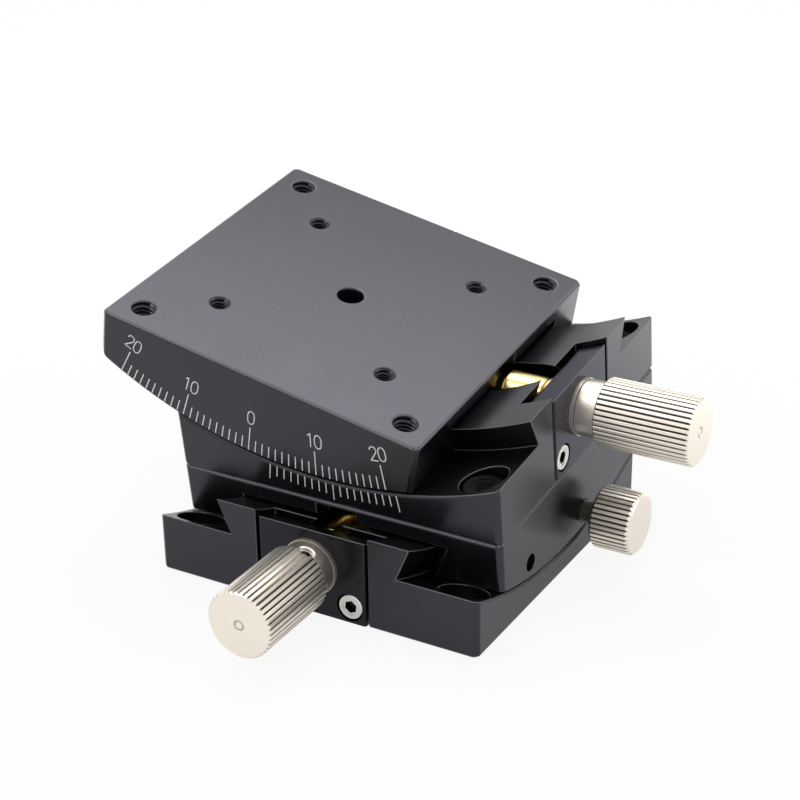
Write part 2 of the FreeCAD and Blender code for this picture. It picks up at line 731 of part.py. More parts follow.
def make_worm(unit):
    """Worm with a smooth shoulder, bored for the shaft, about the worm's own axis."""
    thread = doc.addObject("Part::Feature", f"{unit}_worm_thread")
    middle = f"({PITCH} / 4 - backlash / 2)"
    spread = "tan(pressure_angle)"
    thread.Shape = thread_solid(
        -value("worm_rear"), value("thread_front"), value("thread_run_out"), value(PITCH),
        value("worm_root_radius"), value("worm_radius"),
        value(f"({middle} + ({WORM_PITCH_RADIUS} - worm_root_radius) * {spread})"),
        value(f"({middle} - addendum * {spread})"), int(value("thread_flats")))

    shoulder = new_body(f"{unit}_worm_shoulder")
    section = new_sketch(shoulder, "section", "XY_Plane")
    end = f"({POCKET_WALL} - end_play)"
    draw_turned(section, [
        ("thread_front", "worm_root_radius"), ("shoulder_start", "worm_root_radius"),
        ("shoulder_start", "(shoulder_radius - shoulder_chamfer)"),
        ("(shoulder_start + shoulder_chamfer)", "shoulder_radius"),
        (f"({end} - shoulder_chamfer)", "shoulder_radius"), (end, "(shoulder_radius - shoulder_chamfer)"),
    ])
    add_turned(shoulder, "turned", section)

    bore = doc.addObject("Part::Cylinder", f"{unit}_worm_bore_tool")
    bind(bore, "Radius", "(shaft_radius + seat_clearance)")
    bind(bore, "Height", "(2 * plate_side)")
    bore.Placement = Placement(Vector(-value("plate_side"), 0, 0), Rotation(Vector(0, 1, 0), 90))
    blank = doc.addObject("Part::MultiFuse", f"{unit}_worm_blank")
    blank.Shapes = [thread, shoulder]
    worm = doc.addObject("Part::Cut", f"{unit}_worm")
    worm.Base = blank
    worm.Tool = bore
    worm.Label = f"{unit}_worm"
    doc.recompute()
    return worm


def make_shaft(unit):
    """Plain shaft from the rear bush to the inside of the knob."""
    body = new_body(f"{unit}_worm_shaft")
    section = new_sketch(body, "section", "XY_Plane")
    draw_box(section, f"-{SHAFT_BACK}", f"({GRIP_START} + shaft_in_knob)", "0", "shaft_radius")
    add_turned(body, "turned", section)
    return body


def make_front_bush(unit):
    """Flanged bush in the bracket."""
    body = new_body(f"{unit}_front_bush")
    section = new_sketch(body, "section", "XY_Plane")
    inner = "(shaft_radius + shaft_clearance)"
    draw_outline(section, [
        (POCKET_WALL, inner), (HALF, inner), (HALF, "bush_radius"), (BRACKET_BACK, "bush_radius"),
        (BRACKET_BACK, "bush_flange_radius"), (POCKET_WALL, "bush_flange_radius"),
    ])
    add_turned(body, "turned", section)
    return body


def make_rear_bush(unit):
    """Plain bush at the blind end of the bore."""
    body = new_body(f"{unit}_rear_bush")
    section = new_sketch(body, "section", "XY_Plane")
    back = "(bore_end + rear_bush_length)"
    draw_box(section, f"-{back}", "-bore_end", "(shaft_radius + shaft_clearance)", "bush_radius")
    add_turned(body, "turned", section)
    return body


def make_washer(unit):
    """Thrust washer between the bracket and the knob."""
    body = new_body(f"{unit}_thrust_washer")
    section = new_sketch(body, "section", "XY_Plane")
    start = f"({HALF} + washer_gap)"
    bore = "(shaft_radius + shaft_clearance)"
    draw_box(section, start, f"({start} + washer_thickness)", bore, "washer_radius")
    add_turned(body, "turned", section)
    return body


def make_knob(unit):
    """Knob with a smooth collar, a fluted grip, a blind bore and a hole for its set screw."""
    body = new_body(f"{unit}_knob")
    section = new_sketch(body, "section", "XY_Plane")
    bore = "(shaft_radius + seat_clearance)"
    bore_end = f"({GRIP_START} + shaft_in_knob + seat_clearance)"
    draw_outline(section, [
        (KNOB_START, bore), (bore_end, bore), (bore_end, "0"), (f"({KNOB_END} - dimple_depth)", "0"),
        (KNOB_END, "dimple_radius"), (KNOB_END, "(grip_radius - grip_chamfer)"),
        (f"({KNOB_END} - grip_chamfer)", "grip_radius"), (f"({GRIP_START} + grip_chamfer)", "grip_radius"),
        (GRIP_START, "(grip_radius - grip_chamfer)"), (GRIP_START, "collar_radius"),
        (KNOB_START, "collar_radius"),
    ])
    add_turned(body, "turned", section)
    cut_flutes(body, "grip_radius", GRIP_START, "grip_length")
    hole = new_sketch(body, "set_screw_ring", "XY_Plane")
    draw_circles(hole, "m3_radius", [(SET_SCREW_X, "0")])
    cut_pocket(body, "set_screw_hole", hole, "plate_side", forward=True)
    return body


def make_set_screw(unit):
    """Set screw that grips the shaft inside the knob."""
    body = new_body(f"{unit}_knob_set_screw")
    ring = new_sketch(body, "ring", "XY_Plane", lift="(shaft_radius + seat_clearance)")
    draw_circles(ring, "(m3_radius - thread_clearance)", [(SET_SCREW_X, "0")])
    add_pad(body, "screw", ring, "(collar_radius - shaft_radius - set_screw_sink)")
    return body


def make_bracket(unit):
    """Worm bracket: block with a foot against the pocket's wall and an arched top."""
    body = new_body(f"{unit}_worm_bracket")
    side = new_sketch(body, "side_outline", "XZ_Plane")
    draw_outline(side, [
        (POCKET_WALL, "bracket_bottom"), (HALF, "bracket_bottom"), (HALF, "unit_height"),
        (BRACKET_BACK, "unit_height"), (BRACKET_BACK, FOOT_TOP), (POCKET_WALL, FOOT_TOP),
    ])
    add_pad(body, "block", side, "(2 * bracket_half_width)", midplane=True)
    arch = new_sketch(body, "arch_profile", "YZ_Plane", up=TILT_HEIGHT)
    wide = "(2 * bracket_half_width)"
    draw_box(arch, f"-{wide}", wide, "-(centre_height + bracket_top_depth)", "-(centre_height - unit_height)")
    cut_groove(body, "arch", arch)
    half = value(HALF)
    ease_edges(body, "easing", "bracket_easing", lambda edge: (
        upright(edge) and all(abs(point.x - half) < 1e-4 for point in ends(edge))))
    seat = new_sketch(body, "bush_ring", "YZ_Plane", up=WORM_HEIGHT, lift=HALF)
    draw_circles(seat, "(bush_radius + seat_clearance)", [("0", "0")])
    cut_pocket(body, "bush_seat", seat, "(2 * bracket_thickness)")
    screws = [(f"{side}bracket_screw_y", "bracket_screw_height") for side in ("", "-")]
    holes = [
        ("screw_holes", "(m25_radius + thread_clearance)", "(2 * pocket_depth)"),
        ("counterbores", "(m25_head_radius + head_clearance)", "(m25_head_height + head_sink)"),
    ]
    for name, radius, depth in holes:
        rings = new_sketch(body, f"{name}_rings", "YZ_Plane", lift=HALF)
        draw_circles(rings, radius, screws)
        cut_pocket(body, name, rings, depth)
    return body


def make_bracket_screws(unit):
    """Two cap screws that hold the bracket to the base."""
    body = new_body(f"{unit}_bracket_screws")
    places = [(f"{side}bracket_screw_y", "bracket_screw_height") for side in ("", "-")]
    seat = f"({HALF} - m25_head_height - head_sink)"
    heads = new_sketch(body, "head_rings", "YZ_Plane", lift=seat)
    draw_circles(heads, "m25_head_radius", places)
    add_pad(body, "heads", heads, "m25_head_height")
    tip = f"({POCKET_WALL} - bracket_screw_reach)"
    shanks = new_sketch(body, "shank_rings", "YZ_Plane", lift=tip)
    draw_circles(shanks, "(m25_radius - thread_clearance)", places)
    add_pad(body, "shanks", shanks, f"({seat} - {tip})")
    return body


def make_joining_screws():
    """Four cap screws through the upper base into the lower table, in the upper unit's frame."""
    body = new_body("joining_screws")
    heads = new_sketch(body, "head_rings", "XY_Plane", lift=COUNTERBORE_FLOOR)
    draw_circles(heads, "m4_head_radius", square_corners(M4_PLACE))
    add_pad(body, "heads", heads, "m4_head_height")
    shanks = new_sketch(body, "shank_rings", "XY_Plane", lift="-joining_reach")
    draw_circles(shanks, "(m4_radius - thread_clearance)", square_corners(M4_PLACE))
    add_pad(body, "shanks", shanks, f"(joining_reach + {COUNTERBORE_FLOOR})")
    return body


def shifted(height):
    """A placement moved up by an expression."""
    return Placement(Vector(0, 0, value(height)), Rotation())


def turned(axis, angle):
    """A placement turned about an axis through the origin."""
    return Placement(Vector(), Rotation(axis, angle))


def make_unit(unit, frame, tilt, set_screw_angle):
    """Build one goniometer unit in its frame, tilted, and return its pieces and its table's frame."""
    along = Vector(1, 0, 0)
    worm_frame = frame * shifted(WORM_HEIGHT)
    thread_turn = math.fmod(tilt * value("wheel_teeth"), 360)
    axis_frame = frame * shifted(TILT_HEIGHT) * turned(Vector(0, 1, 0), tilt)
    table_frame = axis_frame * shifted(f"-{TILT_HEIGHT}")
    lock_frame = table_frame * shifted(f"({TILT_HEIGHT} - {LOCK_RADIUS})") * turned(Vector(0, 0, 1), 90)
    knob_frame = worm_frame * turned(along, set_screw_angle)
    placed = [
        (make_base(unit), frame),
        (make_bracket(unit), frame),
        (make_bracket_screws(unit), frame),
        (make_front_bush(unit), worm_frame),
        (make_rear_bush(unit), worm_frame),
        (make_washer(unit), worm_frame),
        (make_shaft(unit), worm_frame),
        (make_worm(unit), worm_frame * turned(along, thread_turn)),
        (make_knob(unit), knob_frame),
        (make_set_screw(unit), knob_frame),
        (make_table(unit), table_frame),
        (make_gib(unit), axis_frame),
        (make_gib_screws(unit), table_frame),
        (make_lock_screw(unit), lock_frame),
        (make_wheel(unit), axis_frame),
        (make_wheel_screws(unit), axis_frame),
    ]
    for piece, place in placed:
        piece.Placement = place
    return [piece for piece, place in placed], table_frame


def main():
    """Build the stage, check every object and write one file for each sub-part."""
    lower_frame = turned(Vector(0, 0, 1), -90)
    pieces, lower_table = make_unit("lower", lower_frame, value("lower_tilt"), value("lower_set_screw_angle"))
    upper_frame = lower_table * shifted("unit_height") * turned(Vector(0, 0, 1), 90)
    upper_pieces, _ = make_unit("upper", upper_frame, value("upper_tilt"), value("upper_set_screw_angle"))
    screws = make_joining_screws()
    screws.Placement = upper_frame
    pieces += upper_pieces + [screws]
    doc.recompute()

    failed = [thing.Label for thing in doc.Objects if {"Invalid", "Error"} & set(thing.State)]
    failed += [piece.Label for piece in pieces if piece.Shape.isNull() or not piece.Shape.isValid()]
    if failed:
        raise ValueError(f"these objects failed: {failed}")

    os.makedirs("parts", exist_ok=True)
    for piece in pieces:
        piece.Shape.exportStep(f"parts/{piece.Label}.step")
        print(piece.Label, "solids", len(piece.Shape.Solids), "volume", round(piece.Shape.Volume, 2))


main()
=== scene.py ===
"""Looks of the two-axis goniometer stage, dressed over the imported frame.

A unit's own frame is the one of the part's source, in millimetres: X runs along the travel with
the knob at +X, Y along the tilt axis with the scale on the -Y face, and Z up from the bottom.
Pieces are made in that frame and placed in metres by the unit's matrices.
"""

import json
import logging
import math
from dataclasses import dataclass
from enum import Enum
from typing import Callable, Iterable, Sequence

import bmesh
import bpy
from bmesh.types import BMEdge, BMVert
from mathutils import Matrix, Vector


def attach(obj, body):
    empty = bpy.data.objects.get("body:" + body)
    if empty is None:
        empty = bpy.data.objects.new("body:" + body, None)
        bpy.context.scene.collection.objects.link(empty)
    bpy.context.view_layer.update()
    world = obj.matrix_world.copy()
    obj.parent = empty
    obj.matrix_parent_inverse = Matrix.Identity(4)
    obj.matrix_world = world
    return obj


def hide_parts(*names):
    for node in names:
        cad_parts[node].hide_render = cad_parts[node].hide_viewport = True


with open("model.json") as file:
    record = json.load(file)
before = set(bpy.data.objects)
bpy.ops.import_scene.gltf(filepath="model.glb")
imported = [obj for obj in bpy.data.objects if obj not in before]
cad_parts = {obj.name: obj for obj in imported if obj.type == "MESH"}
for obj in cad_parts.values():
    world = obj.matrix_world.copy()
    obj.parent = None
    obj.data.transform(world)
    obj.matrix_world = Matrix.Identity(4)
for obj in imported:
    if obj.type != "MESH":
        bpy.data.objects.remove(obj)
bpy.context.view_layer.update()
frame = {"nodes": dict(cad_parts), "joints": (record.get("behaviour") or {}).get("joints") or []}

Pair = tuple[float, float]
Triple = tuple[float, float, float]
Quad = tuple[float, float, float, float]
Loop = tuple[list[BMVert], list[BMEdge]]

MM = 0.001
DRIVE_RATIO = 180.0
X_AXIS = Vector((1.0, 0.0, 0.0))
WHITE = (1.0, 1.0, 1.0, 1.0)
CORNERS = ((1, 1), (1, -1), (-1, 1), (-1, -1))
# Corners of an engraver's plain figures, each one stroke and one unit high
FIGURES = {
    "0": ((0.25, 0.5), (0.235, 0.74), (0.16, 0.93), (0.0, 1.0), (-0.16, 0.93), (-0.235, 0.74), (-0.25, 0.5),
          (-0.235, 0.26), (-0.16, 0.07), (0.0, 0.0), (0.16, 0.07), (0.235, 0.26), (0.25, 0.5)),
    "1": ((-0.13, 0.82), (0.06, 1.0), (0.06, 0.0)),
    "2": ((-0.25, 0.77), (-0.18, 0.94), (-0.02, 1.0), (0.15, 0.94), (0.22, 0.77), (0.17, 0.57), (0.0, 0.35),
          (-0.26, 0.0), (0.26, 0.0)),
}
LOG = logging.getLogger("goniometer")


def shift(x: float, y: float, z: float) -> Matrix:
    """Move along the three axes."""
    return Matrix.Translation((x, y, z))


def spin(degrees: float, axis: str) -> Matrix:
    """Turn about one axis."""
    return Matrix.Rotation(math.radians(degrees), 4, axis)


class Unit(Enum):
    """A unit's name, and its set screw's angle from upright and its tilt at rest, in degrees."""

    LOWER = ("lower", -19.4, 7.0)
    UPPER = ("upper", -160.0, 12.3)


class Metal(Enum):
    """Colour, roughness and turning-mark depth in millimetres of a bare or plated metal."""

    NICKEL = ((0.91, 0.84, 0.735), 0.34, 0.0006)
    SATIN = ((0.62, 0.58, 0.53), 0.42, 0.0006)
    STEEL = ((0.74, 0.73, 0.70), 0.22, 0.0006)
    BRASS = ((0.86, 0.67, 0.30), 0.24, 0.0008)
    BRONZE = ((0.62, 0.42, 0.22), 0.38, 0.0010)
    OXIDE = ((0.03, 0.03, 0.033), 0.34, 0.0010)
    MATT_OXIDE = ((0.010, 0.010, 0.011), 0.62, 0.0010)
    # Brass coloured almost black.
    AGED_BRASS = ((0.012, 0.011, 0.009), 0.45, 0.0008)


@dataclass
class Value:
    """A shader socket that takes part in arithmetic, so that maths reads as it is written."""

    graph: "Graph"
    socket: bpy.types.NodeSocket

    def _with(self, operation: str, *others: "Value | float", first: bool = True) -> "Value":
        """Add a Math node, in which this value comes before or after the others."""
        operands = dict(enumerate([self, *others] if first else [*others, self]))
        return self.graph.value("ShaderNodeMath", 0, {"operation": operation}, operands)

    def __add__(self, other: "Value | float") -> "Value":
        """Sum."""
        return self._with("ADD", other)

    __radd__ = __add__

    def __sub__(self, other: "Value | float") -> "Value":
        """Difference."""
        return self._with("SUBTRACT", other)

    def __rsub__(self, other: "Value | float") -> "Value":
        """Difference from a number."""
        return self._with("SUBTRACT", other, first=False)

    def __mul__(self, other: "Value | float") -> "Value":
        """Product."""
        return self._with("MULTIPLY", other)

    __rmul__ = __mul__

    def __truediv__(self, other: "Value | float") -> "Value":
        """Quotient."""
        return self._with("DIVIDE", other)

    def __pow__(self, other: "Value | float") -> "Value":
        """Power."""
        return self._with("POWER", other)

    def clamped(self, low: float, high: float) -> "Value":
        """The value kept between two limits."""
        return self._with("MAXIMUM", low)._with("MINIMUM", high)


class Graph:
    """The nodes of one material or world."""

    def __init__(self, owner: bpy.types.Material | bpy.types.World) -> None:
        """Start an empty node tree on its owner."""
        owner.use_nodes = True
        self.tree = owner.node_tree
        self.tree.nodes.clear()

    def node(self, kind: str, settings: dict | None = None,
             values: dict | None = None) -> bpy.types.Node:
        """Add a node.

        Args:
            kind: The node's type.
            settings: Properties that are set before the sockets.
            values: Numbers, colours or values for the input sockets, by name or number.

        Returns:
            The node.
        """
        node = self.tree.nodes.new(kind)
        for name, setting in (settings or {}).items():
            setattr(node, name, setting)
        for name, value in (values or {}).items():
            if isinstance(value, Value):
                self.tree.links.new(value.socket, node.inputs[name])
            else:
                node.inputs[name].default_value = value
        return node

    def value(self, kind: str, output: int | str = 0, settings: dict | None = None,
              values: dict | None = None) -> Value:
        """Add a node and take one of its outputs."""
        return Value(self, self.node(kind, settings, values).outputs[output])

    def noise(self, place: Value, scale: float, detail: float = 2.0, roughness: float = 0.5) -> Value:
        """Noise between 0 and 1 over a place in space."""
        sizes = {"Vector": place, "Scale": scale, "Detail": detail, "Roughness": roughness}
        return self.value("ShaderNodeTexNoise", 0, {}, sizes)

    def bump(self, height: Value, distance: float) -> Value:
        """Normal tilted by a height, whose full depth is a distance in metres."""
        sizes = {"Height": height, "Distance": distance, "Strength": 1.0}
        return self.value("ShaderNodeBump", 0, {}, sizes)

    def tint(self, low: Triple | Value, high: Triple, mask: Value) -> Value:
        """Mix a varying or plain colour with a plain one by a mask."""
        colours = {0: mask, 6: low if isinstance(low, Value) else (*low, 1.0), 7: (*high, 1.0)}
        return self.value("ShaderNodeMix", 2, {"data_type": "RGBA"}, colours)

    def mix(self, mask: Value, first: Value, second: Value) -> Value:
        """Mix two shaders by a mask."""
        return self.value("ShaderNodeMixShader", 0, {}, {0: mask, 1: first, 2: second})

    def seen(self) -> tuple[Value, Value, Value]:
        """Whether a ray comes from the camera, off a gloss or through a glass."""
        rays = self.node("ShaderNodeLightPath").outputs
        return tuple(Value(self, rays[f"Is {kind} Ray"]) for kind in ("Camera", "Glossy", "Transmission"))

    def surface(self, shader: Value, kind: str = "ShaderNodeOutputMaterial") -> None:
        """Send a shader to the output."""
        self.node(kind, {}, {"Surface": shader})


@dataclass(frozen=True)
class Finish:
    """A finish whose material is made once and shared."""

    name: str
    slot: str

    def material(self) -> bpy.types.Material:
        """Take the finish's material, or make it when it is first asked for.

        Returns:
            The material.
        """
        made = bpy.data.materials.get(self.name)
        if made is None:
            made = bpy.data.materials.new(self.name)
            self.paint(Graph(made))
        return made

    def paint(self, graph: Graph) -> None:
        """Draw the finish's nodes."""
        raise NotImplementedError


@dataclass(frozen=True)
class AnodisedAluminium(Finish):
    """Black anodised aluminium over a fine blasted grain."""

    colour: Triple = (0.0042, 0.0042, 0.0050)
    roughness: float = 0.26
    density: float = 0.0
    grain: float = 9.0
    grain_depth: float = 0.0003
    cloud: float = 0.09
    handling: float = 1.1
    handling_stretch: Triple = (0.25, 3.0, 3.0)
    tones: Pair = (0.82, 1.22)
    bluing: Quad = (0.84, 0.84, 1.0, 1.0)

    def paint(self, graph: Graph) -> None:
        """Draw a dark, slightly uneven coat with a fine grain and faint handling marks.

        Args:
            graph: The material's nodes.
        """
        place = graph.value("ShaderNodeTexCoord", "Object")
        fine = graph.noise(place, self.grain / MM, detail=3.0, roughness=0.6)
        broad = graph.noise(place, self.cloud / MM, detail=3.0)
        stretch = {"Vector": place, "Scale": self.handling_stretch}
        drawn = graph.value("ShaderNodeMapping", 0, {}, stretch)
        rubbed = graph.noise(drawn, self.handling / MM, detail=4.0, roughness=0.65)
        dark, light = (tuple(part * tone for part in self.colour) for tone in self.tones)
        mixed = (broad * 0.55 + fine * 0.45).clamped(0.0, 1.0)
        body = graph.value("ShaderNodeBsdfPrincipled", 0, {}, {
            "Base Color": graph.tint(dark, light, mixed),
            "Roughness": self.roughness - 0.05 + broad * 0.07 + rubbed * 0.04,
            "Metallic": self.density,
            "IOR": 1.56,
            "Specular Tint": self.bluing,
            "Normal": graph.bump(fine, self.grain_depth * MM),
        })
        graph.surface(body)


@dataclass(frozen=True)
class MachinedMetal(Finish):
    """Turned metal: fine rings round the piece's own X axis, and painted shade where a point is marked
    shaded.
    """

    metal: Metal = Metal.NICKEL
    rings: float = 7.0
    cloud: float = 0.35
    grain: float = 14.0
    tones: Pair = (0.92, 1.05)
    recess_tone: float = 0.04

    def paint(self, graph: Graph) -> None:
        """Draw rings that follow the attribute which holds each point's place in its own frame.

        Args:
            graph: The material's nodes.
        """
        colour, roughness, depth = self.metal.value
        place = graph.value("ShaderNodeAttribute", "Vector", {"attribute_name": "own_place"})
        parts = graph.node("ShaderNodeSeparateXYZ", {}, {0: place})
        along, across, up = (Value(graph, output) for output in parts.outputs)
        radius = (across * across + up * up) ** 0.5
        sizes = {"W": along + radius, "Scale": self.rings, "Detail": 3.0}
        rings = graph.value("ShaderNodeTexNoise", 0, {"noise_dimensions": "1D"}, sizes)
        broad = graph.noise(place, self.cloud, detail=3.0)
        fine = graph.noise(place, self.grain)
        # Painted shade: the recess attribute, from 0 to 1, mixes the colour towards a dark tone and raises
        # roughness, standing in for shade.
        recess = graph.value("ShaderNodeAttribute", "Fac", {"attribute_name": "recess"}).clamped(0.0, 1.0)
        dark, light = (tuple(min(1.0, part * tone) for part in colour) for tone in self.tones)
        worn = graph.tint(dark, light, (broad * 0.7 + rings * 0.3).clamped(0.0, 1.0))
        shade = tuple(part * self.recess_tone for part in colour)
        body = graph.value("ShaderNodeBsdfPrincipled", 0, {}, {
            "Base Color": graph.tint(worn, shade, recess),
            "Metallic": 1.0,
            "Roughness": roughness - 0.05 + broad * 0.06 + rings * 0.04 + recess * 0.15,
            "Normal": graph.bump(rings * 0.8 + fine * 0.2, depth * MM),
        })
        graph.surface(body)


@dataclass(frozen=True)
class EngravedFill(Finish):
    """Pale paint in the engraved lines."""

    colour: Triple = (0.90, 0.90, 0.89)
    patches: float = 1.6
    thin_tone: float = 0.75

    def paint(self, graph: Graph) -> None:
        """Draw a pale fill with slightly thin places.

        Args:
            graph: The material's nodes.
        """
        place = graph.value("ShaderNodeTexCoord", "Object")
        uneven = graph.noise(place, self.patches / MM, detail=3.0)
        thin = tuple(part * self.thin_tone for part in self.colour)
        body = graph.value("ShaderNodeBsdfPrincipled", 0, {}, {
            "Base Color": graph.tint(thin, self.colour, uneven),
            "Roughness": 0.55 + uneven * 0.1,
            "Normal": graph.bump(uneven, 0.004 * MM),
        })
        graph.surface(body)


BLACK = AnodisedAluminium("black_anodised_aluminium", "black_aluminium")
# The bracket's copy of the black finish, part metallic so that it reflects darker: painted shade from the
# knob.
SHADED_BLACK = AnodisedAluminium("shaded_black_bracket", "black_aluminium", density=0.45)
# A lighter black for chamfers: painted highlight along the blocks' edges.
EDGE_HIGHLIGHT_BLACK = AnodisedAluminium("painted_edge_highlights", "black_aluminium", (0.12, 0.12, 0.125), 0.34)
NICKEL = MachinedMetal("turned_nickel", "nickel", Metal.NICKEL)
SATIN = MachinedMetal("satin_washer", "steel", Metal.SATIN)
STEEL = MachinedMetal("bright_steel", "steel", Metal.STEEL)
BRASS = MachinedMetal("machined_brass", "brass", Metal.BRASS)
BRONZE = MachinedMetal("bearing_bronze", "brass", Metal.BRONZE)
OXIDE = MachinedMetal("black_oxide_steel", "black_steel", Metal.OXIDE)
MATT_OXIDE = MachinedMetal("matt_oxide_steel", "black_steel", Metal.MATT_OXIDE)
GIB = MachinedMetal("near_black_brass", "brass", Metal.AGED_BRASS)
FILL = EngravedFill("engraved_fill", "steel")


@dataclass(frozen=True)
class UnitSizes:
    """Sizes that both units share, in millimetres."""

    plate: float = 60.0
    height: float = 19.4
    centre_height: float = 60.0
    flange_radius: float = 75.0
    knob_start: float = 30.76
    grip_start: float = 34.41
    grip_length: float = 16.3
    m4_inset: float = 5.0
    m3_pitch: float = 32.0

    @property
    def half(self) -> float:
        """Half the plate's side."""
        return self.plate / 2

    @property
    def tilt_height(self) -> float:
        """Height of the tilt axis above the unit's bottom."""
        return self.height + self.centre_height


SIZES = UnitSizes()


class UnitFrame:
    """Where one unit's pieces go: matrices from millimetres in a piece's own frame to metres."""

    def __init__(self, unit: Unit) -> None:
        """Read the unit's joints.

        Args:
            unit: The unit.
        """
        self.unit, set_screw_angle, tilt_at_rest = unit.value
        joints = {joint["name"]: joint for joint in frame["joints"]}
        tilt, drive, lock = (joints[self.node(kind)] for kind in ("tilt", "drive", "lock"))
        across = Vector(tilt["axis"])
        along = Vector(drive["axis"])
        up = along.cross(across)
        centre = Vector(tilt["pos_m"])
        turn = Matrix((along, across, up)).transposed().to_4x4()
        scale = Matrix.Scale(MM, 4)
        offset = Vector(lock["pos_m"]) - centre
        angle = math.atan2(-offset.dot(along), -offset.dot(up))
        lean = Matrix.Rotation(angle, 4, "Y")
        drop = shift(0, 0, -SIZES.tilt_height)
        self.worm_turn = tilt_at_rest * DRIVE_RATIO
        self.axis = Matrix.Translation(centre) @ turn @ lean @ scale
        self.base = Matrix.Translation(centre) @ turn @ scale @ drop
        self.table = self.axis @ drop
        worm_place = Vector(drive["pos_m"]) - along * SIZES.half * MM
        self.worm = Matrix.Translation(worm_place) @ turn @ scale
        self.knob = self.worm @ spin(set_screw_angle, "X")
        lock_place = Matrix.Translation(Vector(lock["pos_m"])) @ turn @ lean @ scale
        self.lock = lock_place @ spin(90, "Z") @ shift(-SIZES.half, 0, 0)

    def body(self, part: str) -> str:
        """The body that a part of this unit rides on."""
        fixed_to = {"base": "lower_base_body" if self.unit == "lower" else "lower_table_body"}
        return fixed_to.get(part, f"{self.unit}_{part}_body")

    def node(self, name: str) -> str:
        """The full name of a node or joint."""
        return f"{self.unit}_{name}"


@dataclass(frozen=True)
class Wear:
    """Which strips get a painted highlight: their width and bend, in degrees, where they face up and
    elsewhere.
    """

    upward: Pair = (0.55, 20.0)
    elsewhere: Pair = (0.3, 30.0)
    rising: Pair = (0.5, 0.95)
    share: float = 0.6


